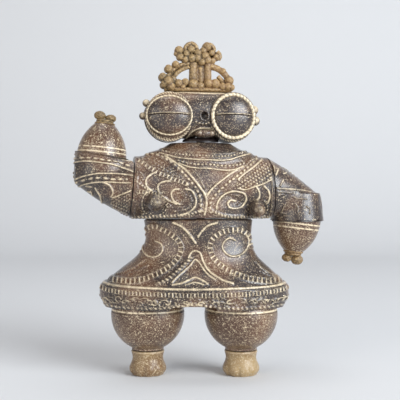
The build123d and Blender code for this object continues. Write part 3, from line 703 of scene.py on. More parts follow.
def sleeve_field(side, p):
    """The sleeve's solid in the arm's frame: a slanting cone from the seam to its narrow end, swollen
    between them by a parabola, and run into the cuff, which is a cone with a flat mouth."""
    x, y, z = np.moveaxis(p, -1, 0)
    t = np.clip((z - SLEEVE_SEAM) / (SLEEVE_REACH[side] - SLEEVE_SEAM), 0, 1)
    r = BARREL_R + (SLEEVE_END_R - BARREL_R) * t + 4 * SLEEVE_BULGE * t * (1 - t)
    cone = np.maximum((np.hypot(x - SLEEVE_DROP[side] * t, y) - r) * 0.9, z - SLEEVE_REACH[side])
    q = cuff_local(side).inner(p)
    wide = np.interp(q[..., 2], [-CUFF_LIP, CUFF_LEN], [CUFF_R, CUFF_TOP_R])
    cuff = -smooth_min(wide - np.hypot(q[..., 0], q[..., 1]), CUFF_LEN - q[..., 2], CUFF_BLEND[side])
    return np.maximum(smooth_min(cone, cuff, CUFF_BLEND[side]), -CUFF_LIP - q[..., 2])


def sleeve_grid(side, front, inset):
    """The sleeve's half: sections in planes that turn about the inner corner, from the seam with the chest
    to the cuff's rim, each point the last place where a ray from the section's middle leaves the solid;
    then the seam's disc at one end and the forearm's pocket at the other."""
    cuff = cuff_local(side)
    rim_middle = cuff.out(np.array([0, 0, -CUFF_LIP]))
    slide = -cuff.axes[:, 0] if cuff.axes[2, 0] > 0 else cuff.axes[:, 0]
    corner = rim_middle + slide * (rim_middle[2] - SLEEVE_SEAM) / abs(slide[2])
    span = math.acos(np.clip(-slide @ np.array([-1.0, 0, 0]), -1, 1))
    psi = np.linspace(0.004, span - 0.004, SLEEVE_ROWS)[:, None]
    way_out = np.stack([-np.cos(psi), 0 * psi, np.sin(psi)], axis=-1)
    near = np.linalg.norm(corner - np.array([0, 0, SLEEVE_SEAM]))
    far = np.linalg.norm(rim_middle - corner)
    middle = corner + way_out * (near + (far - near) * (psi / span))[..., None]
    theta = np.linspace(0, math.pi, SLEEVE_ROUND)[None, :]
    sign = -1.0 if front else 1.0
    cos, sin = np.cos(theta)[..., None], np.array([0, sign, 0]) * np.sin(theta)[..., None]
    less = inset + SLEEVE_TRIM[side]
    skin = cast(lambda p: sleeve_field(side, p) + less, middle, -way_out * cos + sin, RAY)
    seam = smooth_cap(skin[:1] * [1, 1, 0] + [0, 0, SLEEVE_SEAM], np.array([0, 0, SLEEVE_SEAM]))
    ring = -way_out[-1] * cos[0] + sin[0]
    lips = [(CUFF_R - inset - 0.3, -CUFF_LIP), *POCKET]
    inner = np.stack([cuff.origin + ring * r + cuff.axes[:, 2] * z for r, z in lips])
    rows = np.concatenate([seam[::-1], skin, inner])
    spare = (-(len(rows) - 1)) % STEP
    return np.concatenate([np.repeat(rows[:1], spare, axis=0), rows])


def lathe(profile, around=48, wobble=None):
    """A surface of revolution about Z from (radius, height) pairs; wobble adds to the radius by row and
    angle."""
    r, z = np.asarray(profile, float).T
    angle = np.linspace(0, 2 * math.pi, around + 1)[None, :]
    wide = r[:, None] + (0 if wobble is None else wobble(z[:, None], angle) * (r > 0)[:, None])
    return np.stack([wide * np.cos(angle), wide * np.sin(angle), z[:, None] + 0 * angle], axis=-1)


def tube(line, radius, around=10):
    """A round bar swept along a line in space: at each point a ring across the line's direction, closed at
    its ends."""
    run = unit(np.gradient(line, axis=0))
    seed = np.array([0.0, 1.0, 0.0]) if abs(run[:, 1]).max() < 0.9 else np.array([1.0, 0, 0])
    a = unit(np.cross(run, seed))
    b = np.cross(run, a)
    angle = np.linspace(0, 2 * math.pi, around + 1)
    ring = np.cos(angle)[None, :, None] * a[:, None] + np.sin(angle)[None, :, None] * b[:, None]
    skin = line[:, None] + radius * ring
    return np.concatenate([line[:1, None] + 0 * ring[:1], skin, line[-1:, None] + 0 * ring[:1]])


def pearl(centre, radii, around=14, rows=9):
    """A ball, stretched to an ellipsoid where its radii differ."""
    t = np.linspace(0, math.pi, rows)
    grid = lathe(np.stack([np.sin(t), np.cos(t)], axis=1), around)
    grid[[0, -1], :, :2] = 0
    return np.asarray(centre, float) + grid * np.asarray(radii, float)


SLEEVE_FRONT = {
    "right": [
        ("cord", [(11.2, 23), (11.2, 18.6), (10.9, 13.9), (10.4, 9.1), (9.9, 4.3), (9.5, 1.2)], 0.4),
        ("dots", [(8.9, 23.4), (9.4, 19.4), (9.4, 14.7), (9.1, 11), (8.8, 6.4), (8.0, 3.4), (7.4, 1.3)], 0.5,
            2.45),
        ("cord", [(7.2, 23.4), (8.1, 19.3), (8.2, 15.5), (8.0, 11.7), (7.8, 8.9), (6.6, 4.1), (5.6, 0.7)],
            0.4),
        ("cord", [(0.4, 23.4), (2.8, 17.9), (3.9, 13.3), (4.3, 8.6), (4.3, 3.9), (4.1, 0.7)], 0.4),
        ("dots", [(-0.6, 22.4), (0.7, 19.7), (1.4, 17.5), (2.1, 14.8), (2.4, 11.9), (2.2, 8.9), (2.3, 5.8),
            (2.6, 2.8)], 0.56, 2.75),
        ("cord", [(-2, 21.7), (-0.2, 17.7), (0.8, 13.1), (1.1, 9.3), (1.1, 4.6), (1.3, 1.3)], 0.36),
        ("cord", [(0.9, 11.6), (0.1, 9.2), (-1.4, 7.8), (-3, 7.3), (-4.2, 7.8)], 0.45),
        ("cord", [(-1.3, 14), (-2.9, 12.8), (-4.1, 11.9), (-5.8, 11.2), (-7.1, 10.8)], 0.4),
        ("cord", [(-0.9, 17.4), (-1.1, 15.1)], 0.36),
        ("cord", [(-2.8, 16.6), (-3.2, 15.1), (-4.2, 14.7)], 0.34),
        ("cord", [(-1.4, 0.8), (-2.3, 2.4), (-3.1, 4.2), (-4.1, 6.1), (-4.5, 7.3)], 0.4),
        ("scales", [(-4.7, 6.8), (-3.7, 4.2), (-2.5, 1), (-11.6, 0.4), (-10.3, 3.2), (-8.7, 6.2),
            (-6.5, 8.1)], 1.05, 70, 0.85),
    ],
    "left": [
        ("cord", [(-8.2, 0.9), (-7.1, 0.8), (-6.1, 0.6)], 0.45),
        ("cord", [(-6.9, 2.6), (-5.8, 1.9), (-4.5, 0.9)], 0.45),
        ("cord", [(-4.8, 4.3), (-4.9, 5.3), (-5.2, 6.1)], 0.34),
        ("cord", [(-2.5, 3.9), (-1.7, 3.1), (-0.4, 2.2)], 0.36),
        ("cord", [(0.4, 0.6), (0.7, 2.4), (1.2, 6.2), (1.9, 11.0), (3.1, 15.8)], 0.42, 0.85),
        ("cord", [(1.9, 1), (2.2, 4), (2.8, 7)], 0.5, 0.7),
        ("cord", [(4.3, 7.5), (5.1, 9.3), (5.3, 10.8), (5.6, 12.7)], 0.36, 0.75),
        ("cord", [(3.2, 1.2), (3.0, 3.0), (3.7, 4.1)], 0.34, 0.75),
        ("cord", [(6.8, 4.0), (8.1, 3.4), (9.9, 3.2), (10.6, 4.1)], 0.36, 0.8),
        ("cord", [(7.0, 8.3), (8.6, 9.0), (10.3, 8.6)], 0.34, 0.7),
        ("cord", [(8.4, 12.6), (9.6, 13.6), (11.2, 13.4)], 0.34, 0.7),
        ("cord", [(13.4, 0.6), (13.8, 6), (14.2, 12), (14.6, 21)], 0.3, 0.7),
    ],
}
SLEEVE_BACK = {
    "right": [("cord", [(x, 23.4), (x + 0.6, 12), (x - 0.4, 0.7)], 0.4) for x in (10.8, 7.4, 3.6, 0.6)]
    + [("dots", [(x, 23.4), (x + 0.6, 12), (x - 0.4, 1)], 0.5, 2.5) for x in (9.1, 2.1)]
    + [("cord", spiral((-4, 7), 1.2, 3.4, 1.5, 40), 0.4)],
    "left": [
        ("cord", [(1.2, 0.6), (1.6, 8), (3, 16)], 0.42),
        ("cord", spiral((-4, 6), 1.2, 3.4, 1.5, 40), 0.4),
        ("dots", [(-9, 2), (-7, 7), (-2, 13)], 0.45, 1.6),
    ],
}


# ---- paint ----------------------------------------------------------------------------------------

# The noises' scales on Object coordinates: clouds on the ground, flecks in the rubbed paint, specks, and
# the finest grain.
CLOUD, FLECK, SPECK, GRAIN = 75.0, 700.0, 1250.0, 2300.0
DIM_FROM, DIM_TO, BRIGHT_FROM, BRIGHT_TO = 0.69, 0.78, 0.66, 0.69  # noise at dim and bright specks
CREST_GAIN = 1.18  # rubbed crests and painted highlights are this much lighter than the specks
COAT_ROUGHNESS, SPECULAR, GRAIN_DEPTH = 0.3, 0.4, 0.0003


def node(tree, kind, **inputs):
    """A shader node with constants or links set on its sockets by name or number."""
    made = tree.nodes.new(kind)
    for key, value in inputs.items():
        fill(tree, made.inputs[int(key[1:]) if key in ("i0", "i1") else key.replace("_", " ")], value)
    return made


def fill(tree, socket, value):
    """Links a socket to another one, or sets it to a constant."""
    if isinstance(value, bpy.types.NodeSocket):
        tree.links.new(value, socket)
    else:
        socket.default_value = value


def stepped(tree, value, low, high):
    """A value stretched so that low gives 0 and high gives 1."""
    return node(tree, "ShaderNodeMapRange", Value=value, From_Min=low, From_Max=high).outputs["Result"]


def blend(tree, share, first, second):
    """Two colours mixed by a share."""
    made = tree.nodes.new("ShaderNodeMix")
    made.data_type = "RGBA"
    for key, value in (("Factor_Float", share), ("A_Color", first), ("B_Color", second)):
        fill(tree, next(i for i in made.inputs if i.identifier == key), value)
    return next(o for o in made.outputs if o.identifier == "Result_Color")


def maths(tree, operation, first, second=0.0):
    """One sum of two values."""
    made = tree.nodes.new("ShaderNodeMath")
    made.operation = operation
    fill(tree, made.inputs[0], first)
    fill(tree, made.inputs[1], second)
    return made.outputs[0]


def times(tree, value, factor):
    """A value made larger or smaller by a factor."""
    return maths(tree, "MULTIPLY", value, factor)


def noise(tree, place, scale, detail, rough=0.5):
    """A noise from 0 to 1."""
    kind = "ShaderNodeTexNoise"
    return node(tree, kind, Vector=place, Scale=scale, Detail=detail, Roughness=rough).outputs[0]


def ringed(tree, colour, light, fleck, place, rings):
    """Thin worn lines, broken by the flecks, at given distances along an axis."""
    axis, distances, thin = rings
    run = node(tree, "ShaderNodeVectorMath", i0=place, i1=axis)
    run.operation = "DOT_PRODUCT"
    broken = stepped(tree, fleck, 0.3, 0.48)
    for at in distances:
        off = maths(tree, "ABSOLUTE", maths(tree, "SUBTRACT", run.outputs["Value"], at))
        line = times(tree, stepped(tree, off, thin, 0.4 * thin), broken)
        colour = blend(tree, line, colour, light)
    return colour


def paint(name, base, warm, worn, speck, gloss, crest=(0.26, 0.78), rings=None, sheen=0.8):
    """Paint in one material: a dark ground clouded with a warmer one, dim and bright specks of the worn
    colour, the same colour dry-brushed over whatever stands up (the height attribute, between the crest's
    two heights, made ragged by flecks and grain), and a fine grain in the bump. On the crown, hands and
    beads the height also holds painted shade and painted highlight, and the same blend paints them."""
    made = bpy.data.materials.new(name)
    made.use_nodes = True
    tree = made.node_tree
    tree.nodes.clear()
    place = tree.nodes.new("ShaderNodeTexCoord").outputs["Object"]
    cloud, grain = noise(tree, place, CLOUD, 3.0), noise(tree, place, GRAIN, 1.5)
    spots, fleck = noise(tree, place, SPECK, 2.0, 0.7), noise(tree, place, FLECK, 2.0)
    colour = blend(tree, stepped(tree, cloud, 0.45, 0.66), (*base, 1), (*warm, 1))
    reach = maths(tree, "ADD", grain, times(tree, cloud, 0.25))
    dim = times(tree, stepped(tree, reach, DIM_FROM - speck, DIM_TO - speck), 0.8)
    colour = blend(tree, dim, colour, (*mixed(0.45, worn, 0.4, warm), 1))
    bright = times(tree, stepped(tree, spots, BRIGHT_FROM - speck, BRIGHT_TO - speck), 0.9)
    colour = blend(tree, bright, colour, (*worn, 1))
    light = (*(min(1.0, CREST_GAIN * c) for c in worn), 1)
    # Dry-brush on raised relief; where the height comes from hollows or from a bead's front and top, this
    # blend is painted shade and painted highlight.
    if crest:
        up = tree.nodes.new("ShaderNodeAttribute")
        up.attribute_name = "height"
        ragged = times(tree, maths(tree, "SUBTRACT", grain, 0.5), 1.1)
        ragged = maths(tree, "ADD", times(tree, fleck, 0.7), ragged)
        rubbed = maths(tree, "SUBTRACT", up.outputs["Fac"], ragged)
        colour = blend(tree, stepped(tree, rubbed, *crest), colour, light)
    if rings:
        colour = ringed(tree, colour, light, fleck, place, rings)
    bump = node(tree, "ShaderNodeBump", Strength=0.2, Distance=GRAIN_DEPTH, Height=grain).outputs[0]
    rough = maths(tree, "ADD", gloss, times(tree, stepped(tree, spots, 0.3, 0.75), 0.25))
    shader = node(tree, "ShaderNodeBsdfPrincipled", Base_Color=colour, Roughness=rough, Normal=bump)
    shader.inputs["Specular IOR Level"].default_value = SPECULAR
    shader.inputs["Coat Weight"].default_value = sheen
    shader.inputs["Coat Roughness"].default_value = COAT_ROUGHNESS
    tree.links.new(bump, shader.inputs["Coat Normal"])
    node(tree, "ShaderNodeOutputMaterial", Surface=shader.outputs[0])


def mixed(share, first, other_share, second):
    """Two colours added in the given shares."""
    return tuple(share * a + other_share * b for a, b in zip(first, second))


def palette(tools):
    """The materials by what they paint, made once from the panel's colours."""
    if bpy.data.materials.get("torso_paint") is None:
        dark, warm, worn, tan = (tuple(c) for c in (tools.dark, tools.warm, tools.worn, tools.tan))
        gloss, brown, rust = tools.gloss, mixed(0.5, dark, 0.5, warm), mixed(0.8, worn, 0.3, warm)
        paint("torso_paint", dark, warm, worn, 0.02, gloss)
        for side in SIDES:
            way = hand_direction(side)
            start = CUFF[side].origin @ way
            rings = (tuple(way), [(start + 1.9) * MM, (start + 3.6) * MM], 0.00035)
            paint(f"forearm_{side}_paint", brown, warm, worn, 0.06, gloss, None, rings, 0.6)
            rings = ((0, 0, 1), [(HIP[side][2] + 2.1) * MM], 0.0004)
            paint(f"leg_{side}_paint", brown, warm, worn, 0.055, gloss, None, rings, 0.6)
        # the feet's ground, then a warm brown that clouds the painted shade in the crown's and hands'
        # hollows
        clay, tan_shade_warm = (0.17, 0.095, 0.04), (0.17, 0.08, 0.03)
        paint("foot_paint", clay, mixed(0.8, tan, 0, tan), rust, 0.06, gloss + 0.1, (0.2, 1.0), sheen=0.3)
        # Crown and hands: a very dark tan ground is the painted shade in their hollows; the tan and a
        # lighter tan on their tops are a painted highlight
        paint("tan_paint", mixed(0.13, tan, 0, tan), tan_shade_warm, tan, 0.03, gloss + 0.1, (-0.05, 0.9), sheen=0.3)
        paint("joint_paint", dark, dark, warm, -0.05, gloss, None)
    limbs = [f"{limb}_{side}" for limb in ("leg", "forearm") for side in SIDES]
    return {k: bpy.data.materials[f"{k}_paint"] for k in ("torso", "foot", "tan", "joint", *limbs)}


# ---- tables of head, hands, crown and feet --------------------------------------------------------

HEAD_FRONT = [
    ("cord", [(-15, 108.6), (-8.3, 109.2), (-2, 109.1), (3.1, 109), (8, 109.2), (15, 108.8)], 0.5),
    ("cord", [(-5.8, 92.2), (-4.9, 93.6), (-3.4, 94.8), (-1.4, 95.5), (1.5, 95.7), (4, 95), (5.8, 93.2)],
        0.4),
    ("dots", [(-3.4, 98), (0.4, 97.2), (3.6, 98)], 0.45, 1.3),
]

HEAD_BACK = [
    ("cord", [(-17, 104), (-8, 107.4), (0, 108), (8, 107.4), (17, 104)], 0.55),
    ("dots", [(-17, 102), (-8, 105.4), (0, 106), (8, 105.4), (17, 102)], 0.5, 1.5),
    ("cord", spiral((-9, 99.5), 1.4, 3.9, 1.5, 0), 0.5),
    ("cord", spiral((9, 99.5), 1.4, 3.9, -1.5, 180), 0.5),
    ("rope", [(-16, 95), (-8, 92.8), (0, 92.2), (8, 92.8), (16, 95)], 0.6, 1.4),
]

# A hand's two lobes: across, along, and their half sizes.
LOBES = {
    "right": ((2.1, -16.1, 2.25, 1.75), (-2.1, -15.4, 2.1, 1.5)),
    "left": ((-2.3, -15.8, 2.05, 1.6), (1.9, -16.2, 2.45, 2.0)),
}

# The crown's lumps: across, height and radius.
CROWN_LUMPS = [
    (-8.6, 126.2, 1.65), (-8.1, 123.7, 1.45), (-9.6, 125.0, 0.9), (-5.7, 124.9, 1.4), (-6.1, 122.7, 1.4),
        (-3.6, 123.2, 1.7),
    (-1.4, 123.4, 1.6), (-1.2, 125.4, 1.5), (0.4, 121.9, 1.4), (1.7, 124.2, 1.7), (2.7, 122.6, 1.6),
        (4.6, 122.4, 1.3),
    (4.3, 125.5, 1.2), (6.1, 123.9, 1.3), (-3.9, 126.6, 1.5), (2.4, 127.9, 1.75), (1.1, 126.4, 1.4),
    (-9.9, 120.7, 1.4), (-12.7, 118.9, 1.6), (-14.9, 115.6, 1.7), (-14.4, 112.8, 1.5), (-12.9, 113.8, 2.1),
        (-11.1, 114.5, 1.7),
    (-11.9, 111.9, 1.8), (8.8, 118.5, 1.2), (11.2, 114.8, 1.85), (12.0, 112.0, 1.3), (10.4, 112.2, 1.6),
        (8.4, 112.3, 1.5),
    (5.5, 113.3, 1.95), (2.9, 113.4, 1.8), (-0.3, 112.3, 1.6), (-3.2, 113.0, 2.0), (-6.3, 113.7, 1.5),
        (-7.2, 111.8, 1.2),
    (-8.9, 113.2, 1.6),
]

# Its bars: the points of each, and its radius.
CROWN_BARS = [
    ([(-4.6, 121.4), (-8.0, 120.5), (-11.5, 118.0), (-13.3, 115.6)], 0.8),
    ([(-4.6, 119.9), (-8.0, 118.4), (-10.3, 116.0), (-11.0, 114.2)], 0.8),
    ([(-6.5, 120.3), (-9.6, 118.4), (-12.0, 115.4)], 0.55),
    ([(3.8, 120.3), (7.0, 119.3), (9.5, 117.4), (11.2, 115.0)], 1.25),
    ([(6.9, 116.6), (8.2, 115.0), (9.6, 113.6)], 0.9),
    ([(-3.0, 112), (-3.0, 116.5), (-2.8, 121.5)], 1.6),
    ([(0.1, 112), (0.1, 116), (-0.1, 119.6)], 0.95),
    ([(3.0, 112), (2.8, 116.5), (2.9, 121.5)], 1.5),
    ([(-1.5, 126.2), (-1.9, 127.9), (-3.4, 129.0), (-5.0, 128.6), (-6.0, 127.3), (-6.0, 125.9)], 0.85),
    ([(3.2, 128.9), (4.5, 128.4), (5.2, 127.2), (5.0, 126)], 0.85),
    ([(6.6, 126.2), (7.4, 125.3), (7.6, 124.1), (7.0, 122.9)], 0.85),
]


# Filling behind the lumps, so that the clumps are solid: across, height, half width and half height.
CROWN_FILLS = [
    (-1.0, 123.6, 5.8, 2.6), (-3.8, 126.9, 2.4, 2.4), (3.2, 126.9, 2.2, 2.2), (6.3, 124.4, 1.4, 1.9),
    (0, 117, 3.9, 5.4), (-12.6, 114, 2.8, 2.6), (-6.5, 112, 3.4, 2.0), (5, 112.3, 4.5, 2.2),
    (10.6, 113, 2.2, 2.4),
]
FIRST_ARCH_Z = 114.5  # lumps below this stand on the base and reach farther forwards and back
BASE_REACH, TOP_REACH = 1.9, 0.9
THIN_BAR = 0.55  # the radius of thin bars
THIN_Y, ARCH_Y = 0.5, -0.4  # how far behind the middle thin bars and arches run
SLAB_X, SLAB_HALF, SLAB_STRETCH, SLAB_END = -1.1, (13.6, 3.0, 1.3), 1.25, 13.2
FILL_Y, FILL_DEPTH = 0.7, 1.3
# Crown and hands: the lattice on which they are melted, and how strongly the painted shade of hollows and
# the painted highlight of tops show.
CROWN_CELL, CROWN_GAIN = 0.16, 4.5
HAND_CELL, HAND_GAIN, HAND_DEPTH = 0.12, 2.6, 1.9
# Each hand's wrist: radius, and height along the forearm.
WRIST = [(0, -12.6), (3.6, -12.7), (4.0, -13.1), (3.7, -13.5), (3.1, -13.7), (3.4, -14.1), (3.0, -14.5),
         (1.9, -14.7), (0, -14.9)]
# A foot: height, and how far its wall lies inside its widest radius; then its two rings.
FOOT = [(0.5, 1.1), (1.2, 0.45), (2.0, 0.15), (3.0, 0.1), (4.2, 0.6), (5.4, 1.15), (6.6, 1.4), (7.8, 1.25),
        (8.6, 1.0), (9.2, 0.95)]
FOOT_RINGS = ((5.6, 0.5, 0.35), (9.1, 0.35, 0.9))
FOOT_TOP_INSET, SOLE_INSET, RING_SWELL = 1.1, 2.0, 0.012
FOOT_ROWS, FOOT_AROUND = 44, 144
TOE_LIGHT, TOE_LIGHT_TOP = 0.35, 4.4  # the toes are rubbed this much, up to this height
TOE_DEPTH, TOE_TOP, TOE_FADE, TOES_ROUND = 0.45, 4.6, 1.4, 9
# The neck's plug, dark as the neck and as painted shade under the chin: radius, and height above the collar.
PLUG = [(0, 0.7), (7.2, 0.6), (7.0, 1.4), (5.6, 2.1), (0, 2.3)]
PLUG_DEPTH = 0.55  # its depth as a share of its width

# The head: its half sizes, and the dip over its chin.
HEAD_X, HEAD_HALF_Z, HEAD_FRONT_Y, HEAD_BACK_Y = 22.3, 9.4, 7.5, 9.3
CHIN_DIP, CHIN_HALF_X = 1.3, 4.5
HEAD_RELIEF = 0.4
HEAD_Z = (box("head_front")[0][2] + box("crown")[0][2] + 1.2) / 2
HEAD_CORNER, HEAD_BLUNT, HEAD_ROUND = 2.5, 0.48, 0.5  # powers of the blunt loaf: across, height, depth
HEAD_ROWS, HEAD_COLUMNS = 193, 97
CROWN_SEAT = 0.4  # the head's flat top lies this far above the crown's foot
NOSE = np.array([0.35, 100.2])  # across, height
NOSE_R, NOSE_DEPTH, NOSE_SQUASH = 1.35, 3, 0.85  # the dent behind its rim
NOSE_RIM, NOSE_RIM_Y = (1.65, 1.9, 0.42), -7.6  # the rim's half width, half height and thickness
LIP, LIP_RADII = (0.7, -6.2, 93.5), (4.1, 2.3, 1.6)
LIP_LOBES_X, LIP_LOBE_Y, LIP_LOBE_Z, LIP_LOBE_R = (-1.5, 0.9, 3.1), -7.5, 93.4, 1.15
EAR_Y = -0.6
EARS = {-1: ((21.3, 105.4, 1.5), (22.6, 100.4, 1.5)), 1: ((21.2, 103.4, 1.8), (21.7, 99.2, 1.9))}
# The goggles: their middle, and their rim's half width, half height and thickness; then the drum's rows
# from the middle of its back to its edge: half width, half height, and distance in front of the middle.
GOGGLE_Z, GOGGLE_TURN = 99.9, math.radians(4)
GOGGLES = {-1: (-12.6, 8.55, 7.4, 0.5), 1: (11.1, 8.15, 8.3, 1.0)}
DRUM = [(0, 0, -3.9, 0), (8.6, 9.0, -3.9, 0), (9.1, 9.5, -3.2, 0), (9.1, 9.5, 1.0, 0), (9.0, 9.4, 4.6, 0)]
EDGE_ROWS, BAND_ROWS, LENS_ROWS = 7, 10, 56
EDGE_STRANDS, BAND_STRANDS = 52, 34
EDGE_BAR = (8.75, 9.1, 5.5, 0.45)  # the drum's roped edge: half width, half height, distance, thickness
EDGE_ARC, BAND_ARC = (-0.2, 2.2), (-0.3, 3.4)  # the angles round the two bars that show
BAND_OUT, LENS_OUT = 7.1, 7.0  # how far the rim and the lens's edge stand before the middle
LENS_RISE, LENS_BULGE, LENS_FULL = 0.3, 3.5, 0.97
# The slit: its sag, its half length for that sag, its half width and depth; then its lips' distance from
# it, half width and height.
SLIT_SAG, SLIT_SPAN, SLIT_HALF, SLIT_DEPTH = 0.35, 8, 0.22, 0.4
LIPS_AT, LIPS_HALF, LIPS_HIGH = 0.34, 0.3, 0.25
GOGGLE_AROUND = 193

# Rows of a grid that stay plain: the skirt's lid, the chest's seams, a sleeve's seam and its pocket.
LID_ROWS, SEAM_ROWS, SLEEVE_SEAM_ROWS, POCKET_ROWS = 9, 11, 14, 11
# Above the chest's floor and below its collar's top: how far the relief stays away, and how it fades in.
FLOOR_PLAIN, FLOOR_FADE, COLLAR_PLAIN, COLLAR_FADE = 0.15, 0.3, 1, 0.4
SKIRT_WALL, CHEST_WALL, SLEEVE_WALL, HEAD_WALL = 0.7, 1.0, 0.45, 1.2


# ---- pieces ---------------------------------------------------------------------------------------


def half(name, grid, heights, tools, body, node, wall, place=HOME):
    """Puts one relief-covered half shell in place of a CAD node."""
    relief = tools.relief / MM
    points, tris, raised = shell(grid, outward(grid), heights * relief, wall)
    part = (place.out(points), tris, raised / relief)
    put(name, part, body, palette(tools)["torso"], [node])


def build_skirt(tools):
    """The skirt's shells: ellipses with the drawn relief, left plain on the lid and underneath."""
    for which, pattern in (("front", SKIRT_FRONT), ("back", SKIRT_BACK)):
        grid = skirt_grid(which == "front", tools.relief / MM)
        heights = drawn(grid[..., [0, 2]], pattern)
        heights[:LID_ROWS] = 0
        heights[-UNDER_ROWS:] = 0
        half(f"skirt_{which}_shell", grid, heights, tools, "hips", f"skirt_{which}", SKIRT_WALL)


def build_chest(tools):
    """The chest's shells: the chest's solid with the drawn relief, left plain at seams, floor and collar
    top."""
    for which, pattern in (("front", CHEST_FRONT), ("back", CHEST_BACK)):
        grid = chest_grid(which == "front", tools.relief / MM)
        heights = drawn(grid[..., [0, 2]], pattern)
        heights[:SEAM_ROWS] = 0
        heights[-SEAM_ROWS:] = 0
        heights *= np.clip((grid[..., 2] - CHEST_FLOOR - FLOOR_PLAIN) / FLOOR_FADE, 0, 1)
        heights *= np.clip((COLLAR_TOP - COLLAR_PLAIN - grid[..., 2]) / COLLAR_FADE, 0, 1)
        half(f"chest_{which}_shell", grid, heights, tools, "chest", f"chest_{which}", CHEST_WALL, UPPER)


def build_sleeves(tools):
    """The sleeves' shells: the sleeve's solid with the drawn relief, left plain at the seam and in the
    pocket."""
    for side in SIDES:
        for which, patterns in (("front", SLEEVE_FRONT), ("back", SLEEVE_BACK)):
            grid = sleeve_grid(side, which == "front", tools.relief / MM)
            heights = drawn(grid[..., [0, 2]], patterns[side])
            heights[:SLEEVE_SEAM_ROWS] = 0
            heights[-POCKET_ROWS:] = 0
            name, body = f"sleeve_{which}_shell_{side}", f"upper_arm_{side}"
            half(name, grid, heights, tools, body, f"sleeve_{which}_{side}", SLEEVE_WALL, ARM[side])


def head_place(x, z, turn):
    """A frame on the head facing forwards, turned outwards about Z: its Z looks out of the face."""
    return Place((x, 0, z), (math.cos(turn), math.sin(turn), 0), (0, 0, 1))


def build_head(tools):
    """The head's shells: a lying loaf with blunt ends, cut flat under the crown, its chin drawn up between
    the goggles. Across it, its depth follows a rounded box and its height a blunter one."""
    a = np.linspace(0.02, math.pi - 0.02, HEAD_ROWS)[:, None]
    b = np.linspace(0, math.pi, HEAD_COLUMNS)[None, :]
    x = -HEAD_X * np.cos(a) + 0 * b
    left = 1 - np.abs(x / HEAD_X) ** HEAD_CORNER
    dip = CHIN_DIP * np.exp(-((x / CHIN_HALF_X) ** 2)) * (np.cos(b) > 0)
    z = HEAD_Z - (HEAD_HALF_Z - dip) * left**HEAD_BLUNT * np.cos(b)
    z = np.minimum(z, box("crown")[0][2] + CROWN_SEAT)
    for which, deep, pattern in (("front", -HEAD_FRONT_Y, HEAD_FRONT), ("back", HEAD_BACK_Y, HEAD_BACK)):
        front = which == "front"
        grid = np.stack([x, deep * left**HEAD_ROUND * np.sin(b), z], axis=-1)
        if front:
            off = np.hypot(grid[..., 0] - NOSE[0], NOSE_SQUASH * (grid[..., 2] - NOSE[1]))
            grid[..., 1] += NOSE_DEPTH * dome(off / NOSE_R)
        heights = drawn(grid[..., [0, 2]], pattern)
        points, tris, raised = shell(grid, outward(grid), HEAD_RELIEF * heights, HEAD_WALL)
        parts = [(points, tris, raised / HEAD_RELIEF)]
        for sign in SIDES.values():
            parts.append(goggle(sign, front))
            if front:
                parts += [bead(sign * x_ear, EAR_Y, z_ear, r, 1.1) for x_ear, z_ear, r in EARS[sign]]
        if front:
            parts += face_parts()
        part = moved(merged(parts), UPPER)
        put(f"head_{which}_shell", part, "head", palette(tools)["torso"], [f"head_{which}"])


def bar_rows(half_x, half_z, depth, wide, t, rise):
    """Rows of a round bar bent to an oval: half sizes, depth and rise for each angle t round the bar."""
    out = wide * np.cos(t)
    return np.stack([half_x + out, half_z + out, depth + wide * np.sin(t), 0 * t + rise], axis=1)


def goggle(sign, front):
    """One goggle: an oval drum with a roped edge, a rim round a domed lens, and a slit with raised lips
    across the lens. Rows run from the middle of its back over its edge to the middle of the lens; each is
    an ellipse."""
    middle, rim_x, rim_z, rim = GOGGLES[sign]
    place = head_place(middle, GOGGLE_Z, sign * GOGGLE_TURN)
    edge = bar_rows(*EDGE_BAR, np.linspace(*EDGE_ARC, EDGE_ROWS), 0)
    t = np.linspace(*BAND_ARC, BAND_ROWS)
    band = bar_rows(rim_x, rim_z, BAND_OUT, rim, t, LENS_RISE)
    share = np.concatenate([np.linspace(1, 0.04, LENS_ROWS), [0]])[:, None]
    lens_x, lens_z = rim_x - 0.5 * rim, rim_z - 0.5 * rim
    bulge = LENS_OUT + LENS_BULGE * np.sqrt(1 - LENS_FULL * share**2)
    lens = np.concatenate([lens_x * share, lens_z * share, bulge, 0 * share + LENS_RISE], axis=1)
    rows = np.concatenate([np.array(DRUM), edge, band, lens])
    angle = np.linspace(0, 2 * math.pi, GOGGLE_AROUND)
    high = rows[:, 1:2] * np.sin(angle) + rows[:, 3:]
    grid = np.stack([rows[:, :1] * np.cos(angle), high, rows[:, 2:3] + 0 * angle], axis=-1)
    heights = np.zeros(grid.shape[:2])
    first = len(DRUM)
    strand = np.cos(EDGE_STRANDS * angle + np.arange(EDGE_ROWS)[:, None])
    heights[first:first + EDGE_ROWS] = 0.75 + 0.45 * strand
    first += EDGE_ROWS
    strand = 0.5 + 0.5 * np.cos(BAND_STRANDS * angle + 0.8 * np.arange(BAND_ROWS)[:, None])
    heights[first:first + BAND_ROWS] = np.clip(np.sin(t), 0, 1)[:, None] * (0.85 + 0.4 * strand)
    grid[first:first + BAND_ROWS, :, 2] += 0.12 * strand * np.sin(t)[:, None]
    first += BAND_ROWS
    x = grid[first:, :, 0]
    y = grid[first:, :, 1] - LENS_RISE - SLIT_SAG * (1 - (x / SLIT_SPAN) ** 2)
    within = np.abs(x) < lens_x - 0.3
    lips, slot = dome((y - LIPS_AT) / LIPS_HALF) * within, dome(y / SLIT_HALF) * within
    grid[first:, :, 2] += LIPS_HIGH * lips - SLIT_DEPTH * slot
    heights[first:] = np.maximum(0.9 * lips - slot, 0)
    points = place.out(grid)
    points[..., 1] = (np.minimum if front else np.maximum)(points[..., 1], 0)
    return surface(points, heights)


